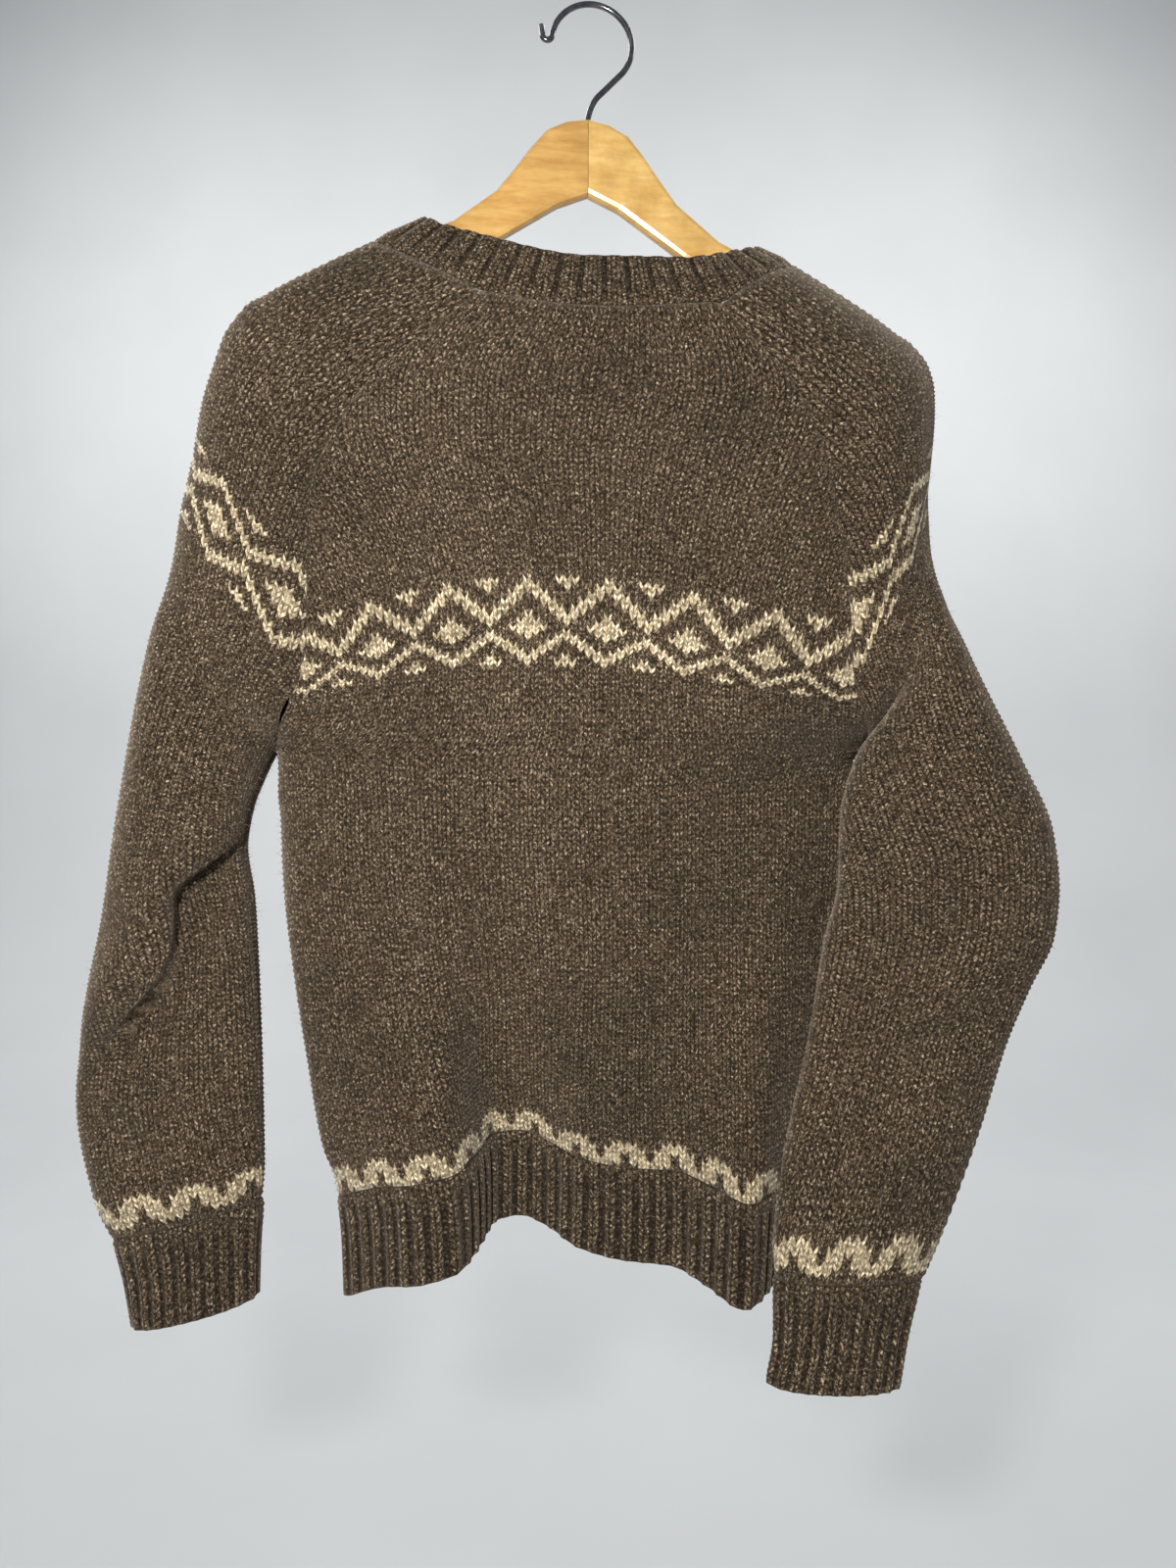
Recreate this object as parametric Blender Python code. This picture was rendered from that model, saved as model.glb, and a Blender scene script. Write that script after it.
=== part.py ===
"""A wool sweater hanging on a flat wooden hanger, its back towards -Y.

The origin is the inside top of the hanger's hook.  +Z is up, +X is to the right as the back is
seen, and -Y points away from the wall that the sweater hangs on.  All lengths are in metres.
The knitted pieces are walls laid on one garment surface: a body tube, two sleeve tubes and a
yoke that joins the three above the underarms.  Heights on that surface are counted in knit rows.
"""

import math

import bmesh
import bpy
import numpy as np
from mathutils import Vector

# Knit rows from the hem up, and the sleeve's own rows from its cuff up
HEM_ROWS = 16
UNDERARM_ROW = 91
YOKE_ROWS = 76

# Cloth
KNIT_THICK = 0.0030
COLLAR_THICK = 0.0044
SEAM_GAP = 0.0003
UNDERARM_GAP = 0.0008
UNDERARM_REACH = 0.010
RIDGE_CLEAR = 0.0046

# Hanger
HANGER_YAW = math.radians(7.0)
HANGER_TILT = math.radians(1.3)
HANGER_CENTRE_X = -0.0035
HANGER_THICK = 0.011
HANGER_EDGE_ROUND = 0.0034
WIRE_RADIUS = 0.00195

# Ribs
RIB_RELIEF = 0.0008
HEM_RIBS = 40
CUFF_RIBS = 20

# The ribbed pieces that are knitted on below a panel
RIB_TOPS = (
    ("hem_rib_back", "back"), ("hem_rib_front", "front"),
    ("cuff_left", "sleeve_left"), ("cuff_right", "sleeve_right"),
)

# How full the rounded sections are: 2 is an ellipse, more is flatter with tighter ends
SECTION_POWER = 2.15
UNDERARM_POWER = 2.4
POWER_ROW = 50.0
DENSE = 161
END_CLOSENESS = 0.45
FOLD_SHARE = 0.20

# Columns of each knitted panel's own grid
PANEL_COLUMNS = 20
SLEEVE_HALF_COLUMNS = 10

# Upper and lower edge of one hanger arm: distance from the centre line, height
ARM_TOP = (
    (0.0, -0.0760), (0.014, -0.0785), (0.027, -0.0850), (0.038, -0.0980), (0.048, -0.1120),
    (0.060, -0.1275), (0.088, -0.1495), (0.140, -0.1735), (0.172, -0.1910), (0.200, -0.2075),
    (0.212, -0.2160),
)
ARM_BOTTOM = (
    (0.2195, -0.2220), (0.2215, -0.2290), (0.2150, -0.2355), (0.200, -0.2300), (0.172, -0.2155),
    (0.140, -0.1990), (0.100, -0.1830), (0.064, -0.1635), (0.020, -0.1345), (0.0, -0.1260),
)

# Body sections: knit row, left edge x, right edge x, side seam height,
# left and right side seam depth, and the depth of the back and of the front between them
BODY_SECTIONS = (
    (0.0, -0.1580, 0.1400, -0.8380, -0.020, 0.012, -0.044, 0.032),
    (10.0, -0.1600, 0.1440, -0.8000, -0.018, 0.012, -0.043, 0.032),
    (19.0, -0.1660, 0.1490, -0.7640, -0.016, 0.012, -0.042, 0.032),
    (24.0, -0.1740, 0.1540, -0.7450, -0.015, 0.012, -0.042, 0.033),
    (38.0, -0.1840, 0.1620, -0.6920, -0.013, 0.012, -0.041, 0.034),
    (52.0, -0.1930, 0.1690, -0.6380, -0.011, 0.012, -0.042, 0.035),
    (72.0, -0.2025, 0.1740, -0.5610, -0.008, 0.014, -0.044, 0.035),
    (88.5, -0.2040, 0.1740, -0.4980, -0.005, 0.014, -0.045, 0.034),
    (91.0, -0.2060, 0.1810, -0.4890, -0.005, 0.008, -0.046, 0.033),
)

# The hem's large waves on the back: share of the way across, depth, height
HEM_BACK = (
    (0.00, -0.020, -0.8420), (0.09, -0.044, -0.8280), (0.19, -0.058, -0.8200),
    (0.25, -0.055, -0.8150), (0.28, -0.038, -0.8090), (0.315, -0.004, -0.8010),
    (0.37, 0.005, -0.8005), (0.43, 0.000, -0.8060), (0.50, -0.014, -0.8150),
    (0.60, -0.021, -0.8205), (0.70, -0.027, -0.8215), (0.77, -0.042, -0.8280),
    (0.84, -0.060, -0.8350), (0.92, -0.036, -0.8310), (1.00, 0.012, -0.8300),
)
HEM_FRONT = (
    (0.00, 0.012, -0.8300), (0.14, 0.036, -0.8300), (0.30, 0.026, -0.8300),
    (0.44, 0.034, -0.8290), (0.52, 0.037, -0.8180), (0.58, 0.036, -0.8080),
    (0.66, 0.030, -0.8050), (0.72, 0.026, -0.8080), (0.79, 0.028, -0.8230),
    (0.88, 0.030, -0.8380), (1.00, -0.020, -0.8420),
)
HEM_WAVE_TOP_ROW = 70.0
HEM_END_MIX = 1.35
SAG_ROW = 40.0

# Yoke lines: share of the way from the underarm to the collar, x, depth, height
SEAM_BACK_LEFT = (
    (0.0, -0.2060, -0.005, -0.4890), (0.05, -0.1985, -0.034, -0.4800),
    (0.11, -0.1930, -0.046, -0.4680), (0.225, -0.1810, -0.051, -0.4460),
    (0.31, -0.1770, -0.051, -0.4140),
    (0.53, -0.1770, -0.046, -0.3380), (0.75, -0.1480, -0.039, -0.2680),
    (1.0, -0.0720, -0.034, -0.2010),
)
SEAM_BACK_RIGHT = (
    (0.0, 0.1810, 0.008, -0.4890), (0.05, 0.1770, -0.022, -0.4810),
    (0.11, 0.1710, -0.038, -0.4700), (0.225, 0.1630, -0.046, -0.4500),
    (0.31, 0.1610, -0.047, -0.4150),
    (0.53, 0.1530, -0.044, -0.3400), (0.75, 0.1350, -0.038, -0.2750),
    (1.0, 0.0820, -0.034, -0.2090),
)
SEAM_FRONT_LEFT = (
    (0.0, -0.2060, -0.005, -0.4890), (0.05, -0.1990, 0.013, -0.4800),
    (0.11, -0.1930, 0.021, -0.4680), (0.225, -0.1830, 0.023, -0.4460), (0.53, -0.1770, 0.021, -0.3400),
    (0.75, -0.1480, 0.018, -0.2720), (1.0, -0.0760, 0.027, -0.2120),
)
SEAM_FRONT_RIGHT = (
    (0.0, 0.1810, 0.008, -0.4890), (0.05, 0.1780, 0.023, -0.4810),
    (0.11, 0.1720, 0.032, -0.4700), (0.225, 0.1640, 0.036, -0.4500), (0.53, 0.1530, 0.037, -0.3420),
    (0.75, 0.1350, 0.038, -0.2780), (1.0, 0.0870, 0.036, -0.2190),
)
# Where the sleeve caps fold over: below the hanger's tip as points, above it along the hanger
CAP_EDGE_LEFT = (
    (0.0, -0.2725, -0.033, -0.4080), (0.104, -0.2635, -0.033, -0.3710),
    (0.184, -0.2595, -0.032, -0.3420), (0.302, -0.2520, -0.031, -0.3070),
    (0.4325, -0.2465, -0.030, -0.2720), (0.530, -0.2390, -0.029, -0.2460),
    (0.600, -0.2325, -0.0285, -0.2265),
)
CAP_EDGE_RIGHT = (
    (0.0, 0.2170, -0.033, -0.3930), (0.104, 0.2145, -0.022, -0.3600),
    (0.184, 0.2150, -0.012, -0.3320), (0.302, 0.2200, 0.002, -0.3000),
    (0.4325, 0.2255, 0.015, -0.2670), (0.530, 0.2270, 0.021, -0.2480),
    (0.600, 0.2235, 0.026, -0.2310),
)
HANGER_SHARE = 0.66
CAP_ARM_REACH = 0.216
COLLAR_ARM_REACH = 0.1395

# Yoke levels across the body: share, depth and arch of the back's middle, of the front's middle
YOKE_MIDDLE = (
    (0.0, -0.046, -0.0110, 0.033, -0.0110), (0.225, -0.053, 0.0290, 0.034, 0.0200),
    (0.53, -0.050, 0.0170, 0.036, 0.0020), (0.75, -0.043, 0.0080, 0.036, -0.0140),
    (1.0, -0.036, -0.0070, 0.037, -0.0400),
)
ARCH_LEAN = 0.32
RIGHT_FLAT = 0.45
RIGHT_FLAT_START = 0.5

# How far the two layers of each cap bulge: share, left back, left front, right back, right front
CAP_BULGE = (
    (0.0, -0.036, 0.032, -0.041, 0.024), (0.05, -0.023, 0.018, -0.027, 0.014),
    (0.225, -0.010, 0.009, -0.011, 0.009), (0.53, -0.010, 0.008, -0.005, 0.013),
    (0.75, -0.005, 0.006, -0.003, 0.012), (1.0, 0.000, 0.004, 0.000, 0.008),
)

# Sleeve sections: share from the underarm to the cuff's top, outer edge x, y, z, inner line x, y, z,
# the bulge of the back and of the front layer, and how far the back layer hangs over the inner line
SLEEVE_LEFT = (
    (0.00, -0.2725, -0.033, -0.4080, -0.2060, -0.005, -0.4890, -0.036, 0.032, 0.0),
    (0.03, -0.2755, -0.033, -0.4190, -0.2090, -0.011, -0.4960, -0.037, 0.034, 0.0),
    (0.12, -0.2840, -0.033, -0.4590, -0.2140, -0.022, -0.5130, -0.038, 0.034, 0.0),
    (0.24, -0.2930, -0.033, -0.5100, -0.2190, -0.028, -0.5310, -0.037, 0.033, 0.0),
    (0.35, -0.3000, -0.033, -0.5540, -0.2220, -0.030, -0.5540, -0.036, 0.032, 0.0),
    (0.46, -0.3060, -0.033, -0.5970, -0.2170, -0.031, -0.5860, -0.032, 0.028, 0.0),
    (0.58, -0.3130, -0.034, -0.6370, -0.2140, -0.032, -0.6250, -0.028, 0.024, 0.0),
    (0.69, -0.3200, -0.034, -0.6740, -0.2120, -0.032, -0.6640, -0.024, 0.021, 0.0),
    (0.80, -0.3245, -0.034, -0.7130, -0.2100, -0.033, -0.7040, -0.022, 0.018, 0.0),
    (0.95, -0.3125, -0.034, -0.7780, -0.2085, -0.034, -0.7560, -0.018, 0.015, 0.0),
    (1.00, -0.3020, -0.034, -0.8000, -0.2100, -0.034, -0.7760, -0.015, 0.013, 0.0),
)
SLEEVE_RIGHT = (
    (0.00, 0.2170, -0.033, -0.3930, 0.1810, 0.008, -0.4890, -0.041, 0.024, 0.000),
    (0.03, 0.2190, -0.035, -0.4010, 0.1830, 0.005, -0.4970, -0.041, 0.025, 0.004),
    (0.10, 0.2260, -0.039, -0.4190, 0.1790, -0.004, -0.5140, -0.040, 0.026, 0.018),
    (0.20, 0.2420, -0.045, -0.4560, 0.1700, -0.018, -0.5370, -0.037, 0.025, 0.026),
    (0.31, 0.2620, -0.051, -0.4990, 0.1610, -0.033, -0.5600, -0.032, 0.021, 0.024),
    (0.42, 0.2800, -0.056, -0.5430, 0.1520, -0.045, -0.5850, -0.026, 0.019, 0.017),
    (0.50, 0.2830, -0.059, -0.5750, 0.1440, -0.053, -0.6050, -0.022, 0.017, 0.013),
    (0.58, 0.2790, -0.062, -0.6060, 0.1380, -0.060, -0.6280, -0.020, 0.016, 0.010),
    (0.66, 0.2640, -0.065, -0.6350, 0.1330, -0.066, -0.6520, -0.019, 0.015, 0.006),
    (0.75, 0.2480, -0.069, -0.6680, 0.1260, -0.072, -0.6830, -0.018, 0.014, 0.003),
    (0.87, 0.2290, -0.074, -0.7220, 0.1140, -0.078, -0.7320, -0.017, 0.014, 0.000),
    (0.96, 0.2030, -0.079, -0.7870, 0.1070, -0.081, -0.7890, -0.014, 0.013, 0.000),
    (1.00, 0.1935, -0.081, -0.8060, 0.1080, -0.082, -0.8060, -0.013, 0.012, 0.000),
)
OVERHANG_POWER = 3

# Cuffs: share from the cuff's top to its end, in the same columns
CUFF_LEFT = (
    (0.0,) + SLEEVE_LEFT[-1][1:],
    (0.5, -0.2945, -0.034, -0.8270, -0.2125, -0.034, -0.8060, -0.015, 0.014, 0.0),
    (1.0, -0.2890, -0.034, -0.8560, -0.2135, -0.034, -0.8370, -0.018, 0.016, 0.0),
)
CUFF_RIGHT = (
    (0.0,) + SLEEVE_RIGHT[-1][1:],
    (0.5, 0.1850, -0.083, -0.8370, 0.1080, -0.084, -0.8370, -0.013, 0.012, 0.0),
    (1.0, 0.1790, -0.084, -0.8680, 0.1035, -0.085, -0.8660, -0.015, 0.013, 0.0),
)

# Largest folds: where each starts and ends, as shares across and down its layer,
# its half width, its depth, and what is on its lower side: a lap drops where a trough rises again
SLEEVE_LEFT_FOLDS = (
    ("lap", 1.06, 0.30, 0.60, 0.47, 0.030, 0.0065),
    ("lap", 0.60, 0.47, -0.10, 0.78, 0.030, 0.0065),
    ("trough", 0.05, 0.80, 0.45, 0.92, 0.017, 0.004),
    ("trough", 0.85, 0.10, 0.35, 0.16, 0.018, 0.004),
)
SLEEVE_RIGHT_FOLDS = (
    ("trough", 1.00, 0.22, 0.45, 0.32, 0.018, 0.004),
    ("trough", 1.00, 0.52, 0.40, 0.60, 0.018, 0.004),
    ("trough", 0.10, 0.66, 0.60, 0.80, 0.018, 0.004),
)

# Collar: x, depth and height of its top edge, at the left fold, back seams and middle, right fold
COLLAR_TOP_BACK = (
    (0.00, -0.1075, -0.0130, -0.1500), (0.05, -0.1060, -0.0215, -0.1515),
    (0.12, -0.0990, -0.0290, -0.1570), (0.26, -0.0720, -0.0350, -0.1665),
    (0.50, -0.0030, -0.0390, -0.1820), (0.72, 0.0560, -0.0370, -0.1825),
    (0.88, 0.0990, -0.0160, -0.1690), (0.95, 0.1100, 0.0040, -0.1605),
    (1.00, 0.1120, 0.0137, -0.1590),
)
COLLAR_TOP_FRONT = (
    (0.00, 0.1120, 0.0137, -0.1590), (0.05, 0.1105, 0.0220, -0.1610),
    (0.12, 0.1040, 0.0300, -0.1740), (0.26, 0.0780, 0.0345, -0.2070),
    (0.38, 0.0420, 0.0350, -0.2220), (0.50, 0.0040, 0.0340, -0.2270),
    (0.62, -0.0340, 0.0310, -0.2200), (0.74, -0.0700, 0.0270, -0.2030),
    (0.88, -0.0990, 0.0090, -0.1640), (0.95, -0.1060, -0.0040, -0.1520),
    (1.00, -0.1075, -0.0130, -0.1500),
)

# Hook: centre and radius of its bend, where the bend ends on the stem's side and at its tip,
# the tip's own small outward roll, and the points that run down to the wood
HOOK_CENTRE = (-0.0005, -0.0248)
HOOK_RADIUS = 0.0268
HOOK_TIP_TURN = math.radians(172.0)
HOOK_STEM_TURN = math.radians(-42.0)
ROLL_RADIUS = 0.0031
ROLL_STUB = 0.0060
HOOK_STEM = ((0.0095, -0.0530), (0.0020, -0.0610), (-0.0015, -0.0680), (-0.0035, -0.0755))

# Plain colours, roughness and metallic value
WOOL = ((0.105, 0.075, 0.050, 1.0), 0.95, 0.0)
HONEY_WOOD = ((0.62, 0.38, 0.13, 1.0), 0.32, 0.0)
DARK_CHROME = ((0.10, 0.10, 0.11, 1.0), 0.22, 1.0)

# The two corners where body and sleeve meet under the arms
UNDERARM_LEFT = np.array(SEAM_BACK_LEFT[0][1:])
UNDERARM_RIGHT = np.array(SEAM_BACK_RIGHT[0][1:])


def clear_scene():
    """Remove what the file opened with."""
    for item in list(bpy.data.objects):
        bpy.data.objects.remove(item, do_unlink=True)


def smooth_step(value):
    """Ease from 0 to 1."""
    value = np.clip(value, 0.0, 1.0)
    return value * value * (3.0 - 2.0 * value)


def read_table(table, key):
    """Read every column of a table at a key in its first column, smoothly and without overshoot."""
    rows = np.array(table)
    keys = rows[:, 0]
    values = rows[:, 1:]
    steps = np.diff(keys)
    slopes = np.diff(values, axis=0) / steps[:, None]
    tangents = np.zeros_like(values)
    same_way = slopes[:-1] * slopes[1:] > 0.0
    total = slopes[:-1] + slopes[1:]
    total[~same_way] = 1.0
    tangents[1:-1] = np.where(same_way, 2.0 * slopes[:-1] * slopes[1:] / total, 0.0)
    tangents[0] = slopes[0]
    tangents[-1] = slopes[-1]
    key = np.clip(np.asarray(key, dtype=float), keys[0], keys[-1])
    index = np.clip(np.searchsorted(keys, key, side="right") - 1, 0, len(steps) - 1)
    step = steps[index][..., None]
    t = (key - keys[index])[..., None] / step
    before, after = values[index], values[index + 1]
    h10 = t * (1.0 - t) ** 2
    h11 = -t * t * (1.0 - t)
    ease = t * t * (3.0 - 2.0 * t)
    bend = h10 * tangents[index] + h11 * tangents[index + 1]
    return before + (after - before) * ease + step * bend


def full_bulge(share, power=SECTION_POWER):
    """Go 0, 1, 0 across a section that is rounded at both ends."""
    return (1.0 - np.abs(2.0 * share - 1.0) ** power) ** (1.0 / power)


def end_rise(share):
    """Go from 0 to 1 across a section that is rounded at its first end."""
    return (1.0 - (1.0 - share) ** SECTION_POWER) ** (1.0 / SECTION_POWER)


def soft_bulge(share):
    """Go 0, 1, 0 across a layer that runs on past its seams without a fold."""
    return 1.0 - np.abs(2.0 * share - 1.0) ** 3


def seam_bulge(share, seam_share, power=SECTION_POWER):
    """Round a yoke layer off at the underarm and let it run on into its neighbours above."""
    fold = float(np.clip(1.0 - seam_share / FOLD_SHARE, 0.0, 1.0))
    return full_bulge(share, power) * fold + soft_bulge(share) * (1.0 - fold)


def closer_ends(columns):
    """Give shares from 0 to 1 whose steps are shorter at both ends."""
    even = np.linspace(0.0, 1.0, columns + 1)
    return even - END_CLOSENESS * np.sin(2.0 * math.pi * even) / (2.0 * math.pi)


def dense_shares():
    """Give shares from 0 to 1, closest together at both ends."""
    return 0.5 - 0.5 * np.cos(np.linspace(0.0, math.pi, DENSE))


def even_points(curve, shares):
    """Read a dense curve at shares of its own length."""
    length = np.concatenate([[0.0], np.cumsum(np.linalg.norm(np.diff(curve, axis=0), axis=1))])
    at = np.asarray(shares) * length[-1]
    return np.stack([np.interp(at, length, curve[:, axis]) for axis in range(3)], axis=1)


def arm_point(side, reach, height):
    """Place a point of a hanger arm: side -1 or 1, distance from the centre line, height."""
    x = HANGER_CENTRE_X + side * reach
    z = height - side * reach * math.tan(HANGER_TILT)
    return x * math.cos(HANGER_YAW), x * math.sin(HANGER_YAW), z


def cap_edge(side, share):
    """Give the fold line over the shoulder: along the hanger, then down from its tip."""
    points = CAP_EDGE_LEFT if side < 0 else CAP_EDGE_RIGHT
    if share <= points[-1][0]:
        return read_table(points, share)
    out = (1.0 - share) / (1.0 - HANGER_SHARE)
    reach = min(COLLAR_ARM_REACH + (CAP_ARM_REACH - COLLAR_ARM_REACH) * out, CAP_ARM_REACH)
    top = float(read_table(ARM_TOP, min(reach, ARM_TOP[-1][0]))[0])
    on_arm = np.array(arm_point(side, reach, top + RIDGE_CLEAR))
    ease = float(smooth_step((share - points[-1][0]) / (HANGER_SHARE - points[-1][0])))
    return np.array(points[-1][1:]) * (1.0 - ease) + on_arm * ease


def fold_offset(folds, across, down, width, height):
    """Add up a layer's folds; positive moves the cloth inwards."""
    offset = np.zeros_like(across)
    for kind, start_across, start_down, end_across, end_down, half_width, depth in folds:
        start = np.array([start_across * width, -start_down * height])
        end = np.array([end_across * width, -end_down * height])
        along = end - start
        length = np.linalg.norm(along)
        along = along / length
        x = across * width - start[0]
        z = -down * height - start[1]
        t = x * along[0] + z * along[1]
        side = x * along[1] - z * along[0]
        inside = smooth_step((t + half_width) / (2.0 * half_width))
        inside = inside * smooth_step((length + half_width - t) / (2.0 * half_width))
        falloff = np.exp(-((side / half_width) ** 2))
        if kind == "lap":
            offset += depth * inside * falloff * np.tanh(-side / (0.5 * half_width))
        else:
            offset += depth * inside * falloff
    return offset


def sleeve_half(outer, inner, bulge, seam_share=0.0):
    """Give one layer of a sleeve from its outer fold to its inner line or yoke seam."""
    share = dense_shares()
    curve = outer + (inner - outer) * share[:, None]
    fold = float(np.clip(1.0 - seam_share / FOLD_SHARE, 0.0, 1.0))
    rise = share * fold + end_rise(share) * (1.0 - fold)
    curve[:, 1] = outer[1] + (inner[1] - outer[1]) * rise + bulge * seam_bulge(share, seam_share)
    return curve


def sleeve_section(side, table, share, folds=()):
    """Give a sleeve tube's back and front layer at a share, each from the outer edge inwards."""
    row = read_table(table, share)
    outer, inner = row[0:3], row[3:6]
    back = sleeve_half(outer, inner, row[6])
    front = sleeve_half(outer, inner, row[7])
    across = dense_shares()
    back[:, 0] -= side * row[8] * np.sin(math.pi * across ** OVERHANG_POWER)
    if folds:
        down = np.full_like(across, share)
        taper = full_bulge(across)
        width = 0.5 * math.pi * abs(table[4][1] - table[4][4])
        height = abs(table[-1][3] - table[0][3])
        back[:, 1] += taper * fold_offset(folds, across, down, width, height)
    return back, front


def cap_section(side, share):
    """Give a sleeve cap's back and front layer at a yoke share, from the fold to the seams."""
    outer = cap_edge(side, share)
    back_seam = read_table(SEAM_BACK_LEFT if side < 0 else SEAM_BACK_RIGHT, share)
    front_seam = read_table(SEAM_FRONT_LEFT if side < 0 else SEAM_FRONT_RIGHT, share)
    bulge = read_table(CAP_BULGE, share)
    column = 0 if side < 0 else 2
    back = sleeve_half(outer, back_seam, bulge[column], share)
    front = sleeve_half(outer, front_seam, bulge[column + 1], share)
    return back, front


def right_side_flat(across, front):
    """Flatten the back at its right, where the sleeve hangs before it."""
    if front:
        return np.zeros_like(across)
    return RIGHT_FLAT * smooth_step((across - RIGHT_FLAT_START) / (1.0 - RIGHT_FLAT_START))


def yoke_layer(share, front):
    """Give the back or front at a yoke share, from its left seam to its right seam as worn out."""
    if front:
        start, end = read_table(SEAM_FRONT_RIGHT, share), read_table(SEAM_FRONT_LEFT, share)
    else:
        start, end = read_table(SEAM_BACK_LEFT, share), read_table(SEAM_BACK_RIGHT, share)
    middle = read_table(YOKE_MIDDLE, share)
    depth, arch = (middle[2], middle[3]) if front else (middle[0], middle[1])
    across = dense_shares()
    curve = start + (end - start) * across[:, None]
    flat = right_side_flat(across, front) * float(np.clip(1.0 - share / FOLD_SHARE, 0.0, 1.0))
    bulge = seam_bulge(across, share, UNDERARM_POWER)
    curve[:, 1] += (depth - 0.5 * (start[1] + end[1])) * bulge * (1.0 - flat)
    lean = 0.0 if front else ARCH_LEAN * (1.0 - 2.0 * across)
    rise = soft_bulge(across) if front else np.sin(math.pi * across)
    curve[:, 2] += arch * (1.0 + lean) * rise
    return curve


def body_layer(row, front):
    """Give the back or front at a knit row below the underarm."""
    left_x, right_x, side_z, left_y, right_y, back_y, front_y = read_table(BODY_SECTIONS, row)
    left = np.array([left_x, left_y, side_z])
    right = np.array([right_x, right_y, side_z])
    start, end = (right, left) if front else (left, right)
    depth = front_y if front else back_y
    across = dense_shares()
    curve = start + (end - start) * across[:, None]
    flat = right_side_flat(across, front)
    tight = float(smooth_step((row - POWER_ROW) / (UNDERARM_ROW - POWER_ROW)))
    power = SECTION_POWER + (UNDERARM_POWER - SECTION_POWER) * tight
    curve[:, 1] += (depth - 0.5 * (start[1] + end[1])) * full_bulge(across, power) * (1.0 - flat)
    sag = YOKE_MIDDLE[0][2] * float(smooth_step((row - SAG_ROW) / (UNDERARM_ROW - SAG_ROW)))
    curve[:, 2] += sag * np.sin(math.pi * across)
    hem = read_table(HEM_FRONT if front else HEM_BACK, across)
    bottom = BODY_SECTIONS[0]
    wave = 1.0 - float(smooth_step(row / HEM_WAVE_TOP_ROW))
    end_mix = np.clip(full_bulge(across) * HEM_END_MIX, 0.0, 1.0)
    chord = start[1] + (end[1] - start[1]) * across
    hem_chord = hem[0, 0] + (hem[-1, 0] - hem[0, 0]) * across
    target = chord + hem[:, 0] - hem_chord
    curve[:, 1] += (target - curve[:, 1]) * wave * end_mix
    curve[:, 2] += (hem[:, 1] - bottom[3]) * wave
    return curve


def body_panel(rows, shares, front):
    """Lay a back or front grid on the body between two heights given as knit rows."""
    grid = []
    for row in rows:
        if row <= UNDERARM_ROW:
            curve = body_layer(row, front)
        else:
            curve = yoke_layer((row - UNDERARM_ROW) / YOKE_ROWS, front)
        grid.append(even_points(curve, shares))
    return np.array(grid)


def ring_of_sleeve(back, front, side, half_shares):
    """Join a sleeve's two layers into one row that runs the way the outside is seen."""
    back_row = even_points(back, half_shares)
    front_row = even_points(front, half_shares)
    if side < 0:
        return np.concatenate([front_row[::-1], back_row[1:]])
    return np.concatenate([back_row[::-1], front_row[1:]])


def sleeve_grid(side, shares_down, shares_up, half_shares):
    """Lay a sleeve grid from its cuff seam up to the collar."""
    table = SLEEVE_LEFT if side < 0 else SLEEVE_RIGHT
    folds = SLEEVE_LEFT_FOLDS if side < 0 else SLEEVE_RIGHT_FOLDS
    rows = []
    for share in shares_down:
        rows.append(ring_of_sleeve(*sleeve_section(side, table, share, folds), side, half_shares))
    for share in shares_up:
        rows.append(ring_of_sleeve(*cap_section(side, share), side, half_shares))
    return np.array(rows)


def cuff_grid(side, shares_down, half_shares):
    """Lay a cuff grid from its open end up to the sleeve."""
    table = CUFF_LEFT if side < 0 else CUFF_RIGHT
    sections = [sleeve_section(side, table, share) for share in shares_down]
    return np.array([ring_of_sleeve(*section, side, half_shares) for section in sections])


def length_shares(points):
    """Give how far along its own length each point of a line lies, from 0 to 1."""
    length = np.concatenate([[0.0], np.cumsum(np.linalg.norm(np.diff(points, axis=0), axis=1))])
    return length / length[-1]


def collar_grid(grids, shares_up):
    """Lay the collar from the top rows of the yoke's pieces to its own top edge."""
    half = SLEEVE_HALF_COLUMNS
    left, right = grids["sleeve_left"][-1], grids["sleeve_right"][-1]
    base_back = np.concatenate([left[half:], grids["back"][-1][1:], right[1:half + 1]])
    base_front = np.concatenate([right[half:], grids["front"][-1][1:], left[1:half + 1]])
    across = np.linspace(0.0, 1.0, DENSE)
    top_back = even_points(read_table(COLLAR_TOP_BACK, across), length_shares(base_back))
    top_front = even_points(read_table(COLLAR_TOP_FRONT, across), length_shares(base_front))
    low = np.concatenate([base_back, base_front[1:]])
    high = np.concatenate([top_back, top_front[1:]])
    return np.array([low + (high - low) * share for share in shares_up])


def between_corners(line, columns):
    """Read more columns off a line of corners, on the straight runs between them."""
    at = np.linspace(0.0, len(line) - 1.0, columns + 1)
    index = np.minimum(at.astype(int), len(line) - 2)
    part = (at - index).reshape((-1,) + (1,) * (line.ndim - 1))
    return line[index] * (1.0 - part) + line[index + 1] * part


def corner_key(point):
    """Round a point so that corners of two pieces on one seam line are known as the same."""
    return tuple(np.round(np.asarray(point) * 1e6).astype(int))


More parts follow.
